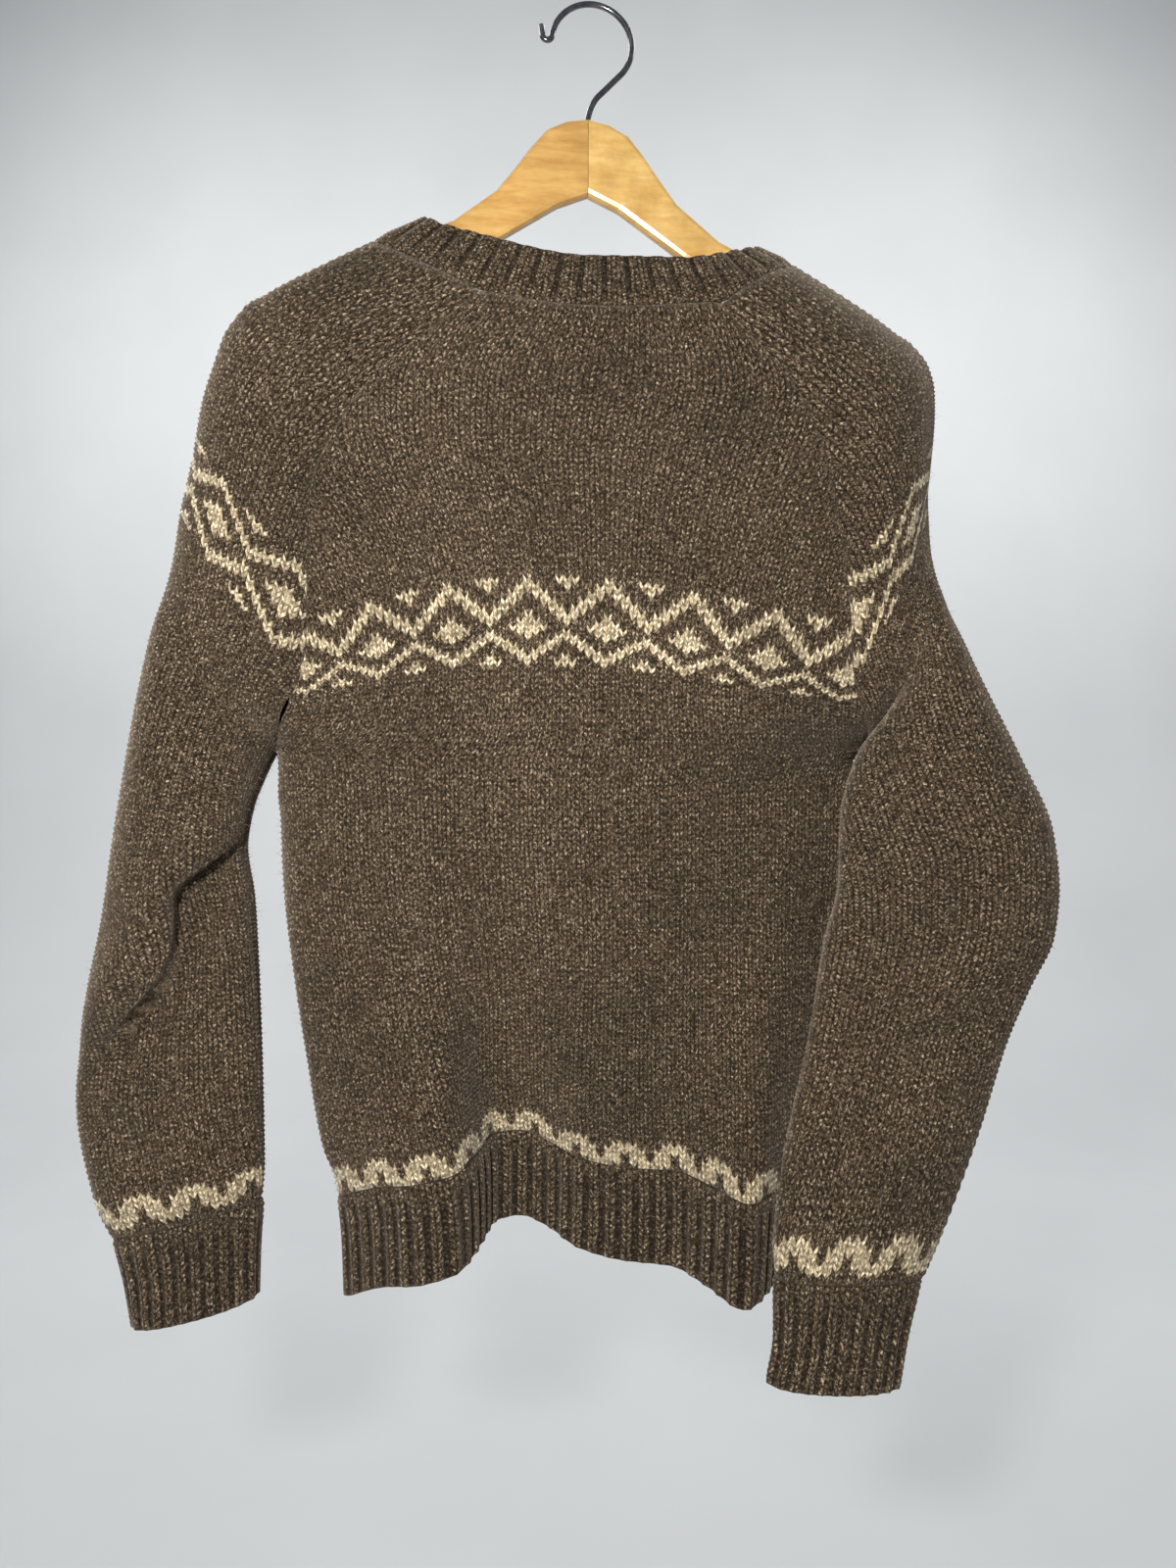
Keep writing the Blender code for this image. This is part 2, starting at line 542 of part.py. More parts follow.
def shared_normals(grids):
    """Work out the garment surface's outward direction at every grid point of every piece."""
    total = {}
    for grid in grids.values():
        rows, columns = grid.shape[:2]
        for row in range(rows - 1):
            for column in range(columns - 1):
                a, b = grid[row, column], grid[row, column + 1]
                c, d = grid[row + 1, column + 1], grid[row + 1, column]
                normal = np.cross(c - a, d - b)
                for corner in {corner_key(point) for point in (a, b, c, d)}:
                    total[corner] = total.get(corner, np.zeros(3)) + normal
    normals = {}
    for name, grid in grids.items():
        found = np.array([[total[corner_key(point)] for point in line] for line in grid])
        normals[name] = found / np.linalg.norm(found, axis=2, keepdims=True)
    return normals


def drawn_in(grid, closed, gaps):
    """Draw a grid's free edges in by each row's gap, so that pieces stay apart at their seams."""
    result = grid.copy()

    def pull(edge, inner, gap=0.5 * SEAM_GAP):
        way = inner - edge
        return edge + way / np.linalg.norm(way, axis=-1, keepdims=True) * gap

    result[0] = pull(grid[0], grid[1])
    result[-1] = pull(grid[-1], grid[-2])
    for row in range(len(grid)):
        if not closed[row]:
            result[row, 0] = pull(result[row, 0], grid[row, 1], gaps[row])
            result[row, -1] = pull(result[row, -1], grid[row, -2], gaps[row])
        elif row + 1 < len(grid) and not closed[row + 1]:
            result[row, 0] = pull(grid[row, 0], 0.5 * (grid[row, 1] + grid[row, -2]), gaps[row])
    return result


def underarm_gaps(grid):
    """Give each row's half gap: wider where four pieces meet at an underarm."""
    corners = [UNDERARM_LEFT, UNDERARM_RIGHT]
    gaps = []
    for row in grid:
        ends = np.array([row[0], row[-1]])
        near = min(np.linalg.norm(ends - corner, axis=1).min() for corner in corners)
        gaps.append(0.5 * SEAM_GAP + (UNDERARM_GAP - 0.5 * SEAM_GAP) * math.exp(-near / UNDERARM_REACH))
    return gaps


def wall_object(name, grid, normals, closed, thick, relief, finish):
    """Make one knitted wall: its outer points carry the ribs, its inner points stay plain."""
    middle = drawn_in(grid, closed, underarm_gaps(grid))
    outer = middle + normals * (0.5 * thick + relief)[..., None]
    inner = middle - normals * (0.5 * thick)[..., None]
    mesh = bmesh.new()
    corners = {}

    def corner(side, row, column):
        if closed[row] and column == grid.shape[1] - 1:
            column = 0
        key = (side, row, column)
        if key not in corners:
            point = outer[row, column] if side == "outer" else inner[row, column]
            corners[key] = mesh.verts.new(point)
        return corners[key]

    rows, columns = grid.shape[:2]
    for row in range(rows - 1):
        for column in range(columns - 1):
            for side in ("outer", "inner"):
                square = [corner(side, row, column), corner(side, row, column + 1),
                          corner(side, row + 1, column + 1), corner(side, row + 1, column)]
                mesh.faces.new(square if side == "outer" else square[::-1])
    for row, turn in ((0, 1), (rows - 1, -1)):
        for column in range(columns - 1):
            strip = [corner("inner", row, column), corner("inner", row, column + 1),
                     corner("outer", row, column + 1), corner("outer", row, column)]
            mesh.faces.new(strip[::turn])
    for row in range(rows - 1):
        if closed[row] and closed[row + 1]:
            continue
        for column, turn in ((0, -1), (columns - 1, 1)):
            strip = [corner("inner", row, column), corner("inner", row + 1, column),
                     corner("outer", row + 1, column), corner("outer", row, column)]
            if len(set(strip)) == 4:
                mesh.faces.new(strip[::-turn])
    return finish_object(name, mesh, finish)


def finish_object(name, mesh, finish):
    """Turn a bmesh into a named, smooth, coloured object."""
    bmesh.ops.recalc_face_normals(mesh, faces=mesh.faces)
    data = bpy.data.meshes.new(name)
    mesh.to_mesh(data)
    mesh.free()
    data.shade_smooth()
    data.set_sharp_from_angle(angle=math.radians(50.0))
    return link_object(name, data, finish)


def link_object(name, data, finish):
    """Give mesh or curve data an object and a plain material of its own."""
    colour, roughness, metallic = finish
    material = bpy.data.materials.new(name)
    material.use_nodes = True
    shader = material.node_tree.nodes["Principled BSDF"]
    shader.inputs["Base Color"].default_value = colour
    shader.inputs["Roughness"].default_value = roughness
    shader.inputs["Metallic"].default_value = metallic
    data.materials.append(material)
    item = bpy.data.objects.new(name, data)
    bpy.context.scene.collection.objects.link(item)
    return item


def rib_relief(rows, columns):
    """Raise every other column of a ribbed grid and sink the ones between."""
    relief = np.full((rows, columns), -0.5 * RIB_RELIEF)
    relief[:, 1::2] = RIB_RELIEF
    return relief


def knit_pieces():
    """Lay every knitted piece's grid on the garment surface."""
    panel_shares = closer_ends(PANEL_COLUMNS)
    hem_shares = between_corners(panel_shares, 2 * HEM_RIBS)
    half_shares = closer_ends(SLEEVE_HALF_COLUMNS)
    cuff_shares = between_corners(half_shares, CUFF_RIBS)
    body_rows = np.array([HEM_ROWS, 24, 31, 39, 47, 55, 63, 71, 78, 84, 88, UNDERARM_ROW])
    yoke_shares = np.array([0.05, 0.13, 0.225, 0.32, 0.42, 0.52, 0.60, 0.66, 0.78, 0.89, 1.0])
    panel_rows = np.concatenate([body_rows, UNDERARM_ROW + YOKE_ROWS * yoke_shares])
    hem_rows = np.array([0.0, 6.0, 13.0, HEM_ROWS])
    down = np.concatenate([[1.0, 0.95], np.linspace(0.90, 0.08, 16), [0.04, 0.0]])
    grids = {
        "back": body_panel(panel_rows, panel_shares, False),
        "front": body_panel(panel_rows, panel_shares, True),
        "hem_rib_back": body_panel(hem_rows, hem_shares, False),
        "hem_rib_front": body_panel(hem_rows, hem_shares, True),
        "sleeve_left": sleeve_grid(-1, down, yoke_shares, half_shares),
        "sleeve_right": sleeve_grid(1, down, yoke_shares, half_shares),
        "cuff_left": cuff_grid(-1, (1.0, 0.66, 0.33, 0.0), cuff_shares),
        "cuff_right": cuff_grid(1, (1.0, 0.66, 0.33, 0.0), cuff_shares),
    }
    for rib, panel in RIB_TOPS:
        grids[rib][-1] = between_corners(grids[panel][0], grids[rib].shape[1] - 1)
    grids["neckband"] = collar_grid(grids, (0.0, 0.33, 0.67, 1.0))
    closed = {name: [False] * len(grid) for name, grid in grids.items()}
    for name in ("sleeve_left", "sleeve_right"):
        closed[name] = [row < len(down) for row in range(len(grids[name]))]
    for name in ("cuff_left", "cuff_right", "neckband"):
        closed[name] = [True] * len(grids[name])
    return grids, closed


def build_knit():
    """Build the sweater's nine knitted pieces."""
    grids, closed = knit_pieces()
    normals = shared_normals(grids)
    for rib, panel in RIB_TOPS:
        normals[rib][-1] = between_corners(normals[panel][0], grids[rib].shape[1] - 1)
    for name, grid in grids.items():
        rows, columns = grid.shape[:2]
        ribbed = name not in ("back", "front", "sleeve_left", "sleeve_right")
        relief = rib_relief(rows, columns) if ribbed else np.zeros((rows, columns))
        thick = np.full((rows, columns), KNIT_THICK)
        if name == "neckband":
            thick[1:] = COLLAR_THICK
            relief[0] = 0.0
        wall_object(name, grid, normals[name], closed[name], thick, relief, WOOL)


def build_hanger_arm(name, side):
    """Cut one arm of the hanger from flat wood, with its edges rounded."""
    outline = [arm_point(side, reach, height) for reach, height in ARM_TOP + ARM_BOTTOM]
    facing = Vector((-math.sin(HANGER_YAW), math.cos(HANGER_YAW), 0.0))
    along = Vector((math.cos(HANGER_YAW), math.sin(HANGER_YAW), 0.0))
    seam = along * side * 0.5 * SEAM_GAP
    mesh = bmesh.new()
    weights = mesh.edges.layers.float.new("bevel_weight_edge")
    front = [mesh.verts.new(Vector(point) + seam - facing * 0.5 * HANGER_THICK) for point in outline]
    face = mesh.faces.new(front)
    made = bmesh.ops.extrude_face_region(mesh, geom=[face])
    moved = [item for item in made["geom"] if isinstance(item, bmesh.types.BMVert)]
    bmesh.ops.translate(mesh, verts=moved, vec=facing * HANGER_THICK)
    crown = Vector(outline[0]) + seam
    for edge in mesh.edges:
        on_seam = [abs((end.co - crown).dot(along)) < SEAM_GAP for end in edge.verts]
        along_rim = abs((edge.verts[0].co - edge.verts[1].co).dot(facing)) < SEAM_GAP
        edge[weights] = 1.0 if along_rim and not all(on_seam) else 0.0
    item = finish_object(name, mesh, HONEY_WOOD)
    bevel = item.modifiers.new("rounded edges", "BEVEL")
    bevel.width = HANGER_EDGE_ROUND
    bevel.segments = 2
    bevel.limit_method = "WEIGHT"
    return item


def build_hook():
    """Bend the hook's wire: a rolled tip, a round bend and a stem that runs back to the centre."""
    out = (math.cos(HOOK_TIP_TURN), math.sin(HOOK_TIP_TURN))
    reach = HOOK_RADIUS + ROLL_RADIUS
    roll_centre = (HOOK_CENTRE[0] + reach * out[0], HOOK_CENTRE[1] + reach * out[1])
    points = [(roll_centre[0] + ROLL_RADIUS * out[0] - ROLL_STUB * out[1],
               roll_centre[1] + ROLL_RADIUS * out[1] - ROLL_STUB * out[0])]
    for turn in np.linspace(HOOK_TIP_TURN, HOOK_TIP_TURN + math.pi, 7)[:-1]:
        points.append((roll_centre[0] + ROLL_RADIUS * math.cos(turn),
                       roll_centre[1] + ROLL_RADIUS * math.sin(turn)))
    for turn in np.linspace(HOOK_TIP_TURN, HOOK_STEM_TURN, 19):
        points.append((HOOK_CENTRE[0] + HOOK_RADIUS * math.cos(turn),
                       HOOK_CENTRE[1] + HOOK_RADIUS * math.sin(turn)))
    points += list(HOOK_STEM)
    curve = bpy.data.curves.new("hanger_hook", "CURVE")
    curve.dimensions = "3D"
    curve.bevel_depth = WIRE_RADIUS
    curve.bevel_resolution = 2
    curve.use_fill_caps = True
    spline = curve.splines.new("POLY")
    spline.points.add(len(points) - 1)
    for place, (x, z) in zip(spline.points, points):
        place.co = (x * math.cos(HANGER_YAW), x * math.sin(HANGER_YAW), z, 1.0)
    return link_object("hanger_hook", curve, DARK_CHROME)


def main():
    """Build the sweater and its hanger."""
    clear_scene()
    build_knit()
    build_hanger_arm("hanger_arm_left", -1)
    build_hanger_arm("hanger_arm_right", 1)
    build_hook()


main()
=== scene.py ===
"""The looks of a wool sweater that hangs on its wooden hanger, the sweater's back towards -Y.

Every knitted piece is a shell on the sweater's surface whose outer side is a lattice of stitches:
each stitch has two slanting legs, and rows and columns of them follow the cloth.  Heights on the
surface are counted in knit rows, widths in stitches, and other lengths are in metres.
"""

import math

import bpy
import numpy as np
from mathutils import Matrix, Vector


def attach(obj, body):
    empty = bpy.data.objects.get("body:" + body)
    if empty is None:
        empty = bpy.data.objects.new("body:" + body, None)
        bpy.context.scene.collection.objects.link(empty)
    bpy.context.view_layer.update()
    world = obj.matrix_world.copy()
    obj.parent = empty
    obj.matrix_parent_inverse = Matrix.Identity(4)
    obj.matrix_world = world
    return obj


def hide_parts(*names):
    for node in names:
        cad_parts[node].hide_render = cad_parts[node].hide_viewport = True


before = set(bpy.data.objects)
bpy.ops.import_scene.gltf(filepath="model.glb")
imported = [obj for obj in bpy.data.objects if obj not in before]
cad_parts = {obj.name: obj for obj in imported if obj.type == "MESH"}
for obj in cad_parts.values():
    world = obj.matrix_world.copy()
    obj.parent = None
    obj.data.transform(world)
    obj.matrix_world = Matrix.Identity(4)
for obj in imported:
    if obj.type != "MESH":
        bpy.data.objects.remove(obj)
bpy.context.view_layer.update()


def in_metres(*rows):
    """Turn a table's lengths from millimetres to metres, all but its first column."""
    return tuple(row[:1] + tuple(0.001 * value for value in row[1:]) for row in rows)


# Knit rows: of the hem's rib, from the hem to the underarm, and of the yoke
HEM_ROWS = 16
UNDERARM_ROW = 91
YOKE_ROWS = 76

# Cloth: thickness, gap at the seams and room over the hanger's arms
KNIT_THICK = 0.003
COLLAR_THICK = 0.0044
SEAM_GAP = 0.0003
RIDGE_CLEAR = 0.0046

# Nearness at which points count as one, steps to a metre at seams and in a mesh, and least areas
SAME_POINT = 1e-6
SEAM_STEPS = 1e5
MESH_STEPS = 2e6
NO_AREA = 1e-7
SLIVER = 0.02

# Hanger: its turn, its tilt, its centre and the hook's wire
HANGER_YAW = math.radians(7)
HANGER_TILT = math.radians(1.3)
HANGER_CENTRE_X = -0.0035
WIRE_RADIUS = 0.00195

# How full the rounded sections are: 2 is an ellipse, more is flatter with tighter ends
SECTION_POWER = 2.15
UNDERARM_POWER = 2.4
POWER_ROW = 50
DENSE = 161
FOLD_SHARE = 0.2

# Where a table goes through in_metres, its lengths are written in millimetres
# Upper edge of one hanger arm: distance from the centre line, height, in millimetres
ARM_TOP = tuple((0.001 * reach, 0.001 * height) for reach, height in (
    (0, -76), (14, -78.5), (27, -85), (38, -98), (48, -112), (60, -127.5), (88, -149.5), (140, -173.5),
    (172, -191), (200, -207.5), (212, -216),
))

# Body sections: knit row, left edge x, right edge x, side seam height,
# left and right side seam depth, and the depth of the back and of the front between them
BODY_SECTIONS = in_metres(
    (0, -158, 140, -838, -20, 12, -44, 32), (10, -160, 144, -800, -18, 12, -43, 32),
    (19, -166, 149, -764, -16, 12, -42, 32), (24, -174, 154, -745, -15, 12, -42, 33),
    (38, -184, 162, -692, -13, 12, -41, 34), (52, -193, 169, -638, -11, 12, -42, 35),
    (72, -202.5, 174, -561, -8, 14, -44, 35), (88.5, -204, 174, -498, -5, 14, -45, 34),
    (91, -206, 181, -489, -5, 8, -46, 33),
)

# The hem's large waves on the back: share of the way across, depth, height
HEM_BACK = in_metres(
    (0, -20, -842), (0.09, -44, -828), (0.19, -58, -820), (0.25, -55, -815), (0.28, -38, -809),
    (0.315, -4, -801), (0.37, 5, -800.5), (0.43, 0, -806), (0.5, -14, -815), (0.6, -21, -820.5),
    (0.7, -27, -821.5), (0.77, -42, -828), (0.84, -60, -835), (0.92, -36, -831), (1, 12, -830),
)
HEM_FRONT = in_metres(
    (0, 12, -830), (0.14, 36, -830), (0.3, 26, -830), (0.44, 34, -829), (0.52, 37, -818),
    (0.58, 36, -808), (0.66, 30, -805), (0.72, 26, -808), (0.79, 28, -823), (0.88, 30, -838),
    (1, -20, -842),
)
HEM_WAVE_TOP_ROW = 70
HEM_END_MIX = 1.35
SAG_ROW = 40

# Yoke lines: share of the way from the underarm to the collar, x, depth, height
SEAM_BACK_LEFT = in_metres(
    (0, -206, -5, -489), (0.05, -198.5, -34, -480), (0.11, -193, -46, -468), (0.225, -181, -51, -446),
    (0.31, -177, -51, -414), (0.53, -177, -46, -338), (0.75, -148, -39, -268), (1, -72, -34, -201),
)
SEAM_BACK_RIGHT = in_metres(
    (0, 181, 8, -489), (0.05, 177, -22, -481), (0.11, 171, -38, -470), (0.225, 163, -46, -450),
    (0.31, 161, -47, -415), (0.53, 153, -44, -340), (0.75, 135, -38, -275), (1, 82, -34, -209),
)
SEAM_FRONT_LEFT = in_metres(
    (0, -206, -5, -489), (0.05, -199, 13, -480), (0.11, -193, 21, -468), (0.225, -183, 23, -446),
    (0.53, -177, 21, -340), (0.75, -148, 18, -272), (1, -76, 27, -212),
)
SEAM_FRONT_RIGHT = in_metres(
    (0, 181, 8, -489), (0.05, 178, 23, -481), (0.11, 172, 32, -470), (0.225, 164, 36, -450),
    (0.53, 153, 37, -342), (0.75, 135, 38, -278), (1, 87, 36, -219),
)
# Where the sleeve caps fold over: below the hanger's tip as points, above it along the hanger
CAP_EDGE_LEFT = in_metres(
    (0, -272.5, -33, -408), (0.104, -263.5, -33, -371), (0.184, -259.5, -32, -342),
    (0.302, -252, -31, -307), (0.4325, -246.5, -30, -272), (0.53, -239, -29, -246),
    (0.6, -232.5, -28.5, -226.5),
)
CAP_EDGE_RIGHT = in_metres(
    (0, 217, -33, -393), (0.104, 214.5, -22, -360), (0.184, 215, -12, -332), (0.302, 220, 2, -300),
    (0.4325, 225.5, 15, -267), (0.53, 227, 21, -248), (0.6, 223.5, 26, -231),
)
HANGER_SHARE = 0.66
CAP_ARM_REACH = 0.216
COLLAR_ARM_REACH = 0.1395

# Yoke levels across the body: share, depth and arch of the back's middle, of the front's middle
YOKE_MIDDLE = in_metres(
    (0, -46, -11, 33, -11), (0.225, -53, 29, 34, 20), (0.53, -50, 17, 36, 2), (0.75, -43, 8, 36, -14),
    (1, -36, -7, 37, -40),
)
ARCH_LEAN = 0.32
RIGHT_FLAT = 0.45
RIGHT_FLAT_START = 0.5

# How far the two layers of each cap bulge: share, left back, left front, right back, right front
CAP_BULGE = in_metres(
    (0, -36, 32, -41, 24), (0.05, -23, 18, -27, 14), (0.225, -10, 9, -11, 9), (0.53, -10, 8, -5, 13),
    (0.75, -5, 6, -3, 12), (1, 0, 4, 0, 8),
)

# Sleeve sections: share from the underarm to the cuff's top, outer edge x, y, z, inner line x, y, z,
# the bulge of the back and of the front layer, and how far the back layer hangs over the inner line
SLEEVE_LEFT = in_metres(
    (0, -272.5, -33, -408, -206, -5, -489, -36, 32, 0),
    (0.03, -275.5, -33, -419, -209, -11, -496, -37, 34, 0),
    (0.12, -284, -33, -459, -214, -22, -513, -38, 34, 0),
    (0.24, -293, -33, -510, -219, -28, -531, -37, 33, 0),
    (0.35, -300, -33, -554, -222, -30, -554, -36, 32, 0),
    (0.46, -306, -33, -597, -217, -31, -586, -32, 28, 0),
    (0.58, -313, -34, -637, -214, -32, -625, -28, 24, 0),
    (0.69, -320, -34, -674, -212, -32, -664, -24, 21, 0),
    (0.8, -324.5, -34, -713, -210, -33, -704, -22, 18, 0),
    (0.95, -312.5, -34, -778, -208.5, -34, -756, -18, 15, 0),
    (1, -302, -34, -800, -210, -34, -776, -15, 13, 0),
)
SLEEVE_RIGHT = in_metres(
    (0, 217, -33, -393, 181, 8, -489, -41, 24, 0), (0.03, 219, -35, -401, 183, 5, -497, -41, 25, 8),
    (0.1, 226, -39, -419, 179, -4, -514, -40, 26, 21),
    (0.2, 242, -45, -456, 170, -18, -537, -37, 25, 26),
    (0.31, 262, -51, -499, 161, -33, -560, -32, 21, 24),
    (0.42, 280, -56, -543, 152, -45, -585, -26, 19, 17),
    (0.5, 283, -59, -575, 144, -53, -605, -22, 17, 13),
    (0.58, 279, -62, -606, 138, -60, -628, -20, 16, 10),
    (0.66, 264, -65, -635, 133, -66, -652, -19, 15, 6),
    (0.75, 248, -69, -668, 126, -72, -683, -18, 14, 3),
    (0.87, 229, -74, -722, 114, -78, -732, -17, 14, 0),
    (0.96, 203, -79, -787, 107, -81, -789, -14, 13, 0),
    (1, 193.5, -81, -806, 108, -82, -806, -13, 12, 0),
)
OVERHANG_POWER = 3

# Cuffs: share from the cuff's top to its end, in the same columns
CUFF_LEFT = ((0,) + SLEEVE_LEFT[-1][1:],) + in_metres(
    (0.5, -294.5, -34, -827, -212.5, -34, -806, -15, 14, 0),
    (1, -289, -34, -856, -213.5, -34, -837, -18, 16, 0),
)
CUFF_RIGHT = ((0,) + SLEEVE_RIGHT[-1][1:],) + in_metres(
    (0.5, 185, -83, -837, 108, -84, -837, -13, 12, 0),
    (1, 179, -84, -868, 103.5, -85, -866, -15, 13, 0),
)

# Row of a sleeve's table at which its folds' widths are measured
WIDEST = 4

# Largest folds: where each starts and ends, as shares across and down its layer,
# its half width, its depth, and what is on its lower side: a lap drops where a trough rises again
SLEEVE_LEFT_FOLDS = (
    ("lap", 1.06, 0.3, 0.6, 0.47, 0.03, 0.0065),
    ("lap", 0.6, 0.47, -0.1, 0.78, 0.03, 0.0065),
    ("trough", 0.05, 0.8, 0.45, 0.92, 0.017, 0.004),
    ("trough", 0.85, 0.1, 0.35, 0.16, 0.018, 0.004),
)
SLEEVE_RIGHT_FOLDS = (
    ("trough", 1.00, 0.22, 0.45, 0.32, 0.018, 0.004),
    ("trough", 1.00, 0.52, 0.4, 0.6, 0.018, 0.004),
    ("trough", 0.1, 0.66, 0.6, 0.8, 0.018, 0.004),
)

# Collar: x, depth and height of its top edge, at the left fold, back seams and middle, right fold
COLLAR_TOP_BACK = in_metres(
    (0, -107.5, -13, -150), (0.05, -106, -21.5, -151.5), (0.12, -99, -29, -157),
    (0.26, -72, -35, -166.5), (0.5, -3, -39, -182), (0.72, 56, -37, -182.5), (0.88, 99, -16, -169),
    (0.95, 110, 4, -160.5), (1, 112, 13.7, -159),
)
COLLAR_TOP_FRONT = in_metres(
    (0, 112, 13.7, -159), (0.05, 110.5, 22, -161), (0.12, 104, 30, -174), (0.26, 78, 34.5, -207),
    (0.38, 42, 35, -222), (0.5, 4, 34, -227), (0.62, -34, 31, -220), (0.74, -70, 27, -203),
    (0.88, -99, 9, -164), (0.95, -106, -4, -152), (1, -107.5, -13, -150),
)

# Hook: centre and radius of its bend, where the bend ends on the stem's side and at its tip,
# the tip's own small outward roll, and the points that run down to the wood
HOOK_CENTRE = (-0.0005, -0.0248)
HOOK_RADIUS = 0.0268
HOOK_TIP_TURN = math.radians(172)
HOOK_STEM_TURN = math.radians(-42)
ROLL_RADIUS = 0.0031
ROLL_STUB = 0.006
ROLL_STEPS = 17
BEND_STEPS = 65
STEM_STEPS = 25
HOOK_STEM = ((0.0095, -0.053), (0.002, -0.061), (-0.0015, -0.068), (-0.0035, -0.0755))

# Rows of each sleeve from its cuff to the underarm, of a cuff and of the collar
SLEEVE_ROWS = 116
CUFF_ROWS = 15
COLLAR_ROWS = 14
PANEL_TOP = UNDERARM_ROW + YOKE_ROWS

# Stitches across a piece at a knit row: of a back or front, and of a whole sleeve from its cuff
PANEL_STITCHES = ((0, 76), (91, 76), (167, 29))
SLEEVE_STITCHES = ((0, 40), (25, 44), (116, 46), (192, 22))
# How much denser the stitches are on a panel's left half than on its right, at a knit row
LEFT_DENSER = ((0, 1), (91, 1), (104, 1.07), (126, 1.07), (167, 1))
SPARE_STITCHES = 2
HEM_KNIT_RIBS = 38
CUFF_KNIT_RIBS = 22
COLLAR_KNIT_RIBS = 40
COLLAR_RIB_STITCHES = 2

# The yoke's rows are even along the middle of the back: share of the rows, share of the yoke
YOKE_PACE = (
    (0, 0), (0.06, 0.05), (0.139, 0.11), (0.285, 0.225), (0.626, 0.53), (0.834, 0.75), (1, 1),
)

# How many rows a sleeve's rows dip towards its outer fold, at a row counted from its cuff
SLEEVE_DIP = ((0, 0), (96, 0), (138, 4.6), (156, 4.4), (192, 0))
DIP_POWER = 3

# How far round the underarm row a panel's rows are softened: spread, reach, and share at its sides
SOFT_SPREAD = 4
SOFT_REACH = 12
SOFT_SIDES = 0.04

# Relief of the outer side: corners and middle of a stitch's legs, a rib's crown and its valley;
# then painted shade: the level painted in a purl stitch's middle, and on the plain inside and rims
LEG_LOW = -0.00075
LEG_HIGH = 0.00095
RIB_CROWN = 0.001
RIB_SHOULDER = -0.0005
RIB_VALLEY = -0.0012
PURL_PAINTED_SHADE = 0.2
PLAIN_PAINTED_SHADE = 0.55
SEAM_SINK = 0.0016
SEAM_REACH = 0.8
EDGE_ROUND = 0.0009
RIB_FADE_ROWS = 2.5
INNER_STEP = 4

# Charts, one line a row from the top: a diamond, mirrored below its middle row, and a wave
DIAMOND_CHART = (
    "##...#...#",
    "#...###...",
    "...##.##..",
    "..##...##.",
    ".##.....##",
    "##...#...#",
    "#...###...",
    "...#####..",
)
DIAMOND_CHART += DIAMOND_CHART[-2::-1]
WAVE_CHART = (
    "##...#",
    "###.##",
    ".##.##",
    ".#####",
    "..###.",
)
# Each piece's bands: first stitch and lowest row of its diamonds, and lowest row of its waves,
# with stitches counted from its middle and rows from its lowest one
BANDS = {
    "back": (-2, 90, 0), "front": (-2, 90, 0), "sleeve_left": (-8, 139, 2), "sleeve_right": (-5, 139, 2),
}

# Soft folds, listed one by one: kind and layer, then start x and z, end x and z, half width and height,
# in millimetres; one below 0 is a trough, and a lap stands proud above its line and sinks below it
CREASES = (
    ("fold", "back", (
        (-50, -560, -60, -740, 18, -5.6), (-92, -540, -96, -720, 24, 3.6), (0, -560, 6, -730, 26, 3.8),
        (95, -500, 85, -690, 24, -2.2), (-110, -300, -150, -400, 24, -1.8), (85, -290, 125, -380, 24, -1.8),
        (-178, -500, -120, -540, 14, -2.2), (-290, -690, -240, -730, 14, -3),
        (160, -600, 230, -590, 16, -3), (150, -680, 210, -655, 16, -2.6), (225, -500, 190, -560, 18, 2.2),
    )),
    ("lap", "back", (
        (-212, -538, -252, -580, 34, 12.5), (-252, -580, -259, -628, 34, 14.5),
        (-259, -628, -296, -669, 34, 12.5),
    )),
    ("fold", "front", (
        (20, -420, 45, -640, 30, -3), (-60, -380, -50, -600, 28, -2.5), (90, -350, 85, -560, 26, 2.2),
        (-5, -620, 10, -740, 22, 2.5), (-120, -480, -110, -700, 24, 2.2),
        (-230, -560, -290, -600, 18, -2.8), (-290, -680, -235, -700, 18, -2.6),
        (170, -590, 250, -570, 18, -3),
    )),
)
LAP_SHARPNESS = 0.0024

# Camera, and the pale floor that curves up far behind the sweater
CAMERA_PLACE = (-0.003, -0.78, -0.514)
CAMERA_LENS = 27.05
WALL_Y = 2.6
WALL_TOP = 2.6
FLOOR_Z = -1.3
COVE = 1
COVE_STEPS = 13
STAGE_DEPTH = 3
STAGE_HALF = 3

# Lights: name, place, target, size, power and colour, and the room's own light
LIGHTS = (
    ("key", (-0.16, -0.86, -0.34), (-0.08, 0, -0.54), 0.1, 9, (1, 0.985, 0.96)),
    ("sky", (-0.7, -1.3, 0.3), (-0.08, 0, -0.54), 1.2, 1, (0.96, 0.98, 1)),
    ("wall_left", (-1.3, 0.9, 1), (0, 2.6, -0.6), 1.2, 33, (1, 0.995, 0.98)),
    ("wall_right", (1.3, 0.9, 1), (0, 2.6, -0.6), 1.2, 33, (1, 0.995, 0.98)),
)
ROOM_LIGHT = 0.27

# How fine the wool's fibres, its strands of mixed colour, its clouds and its bump are
FIBRE_SCALE = 620
STRAND_SCALE = 430
CLOUD_SCALE = 14
GRAIN_SCALE = 900
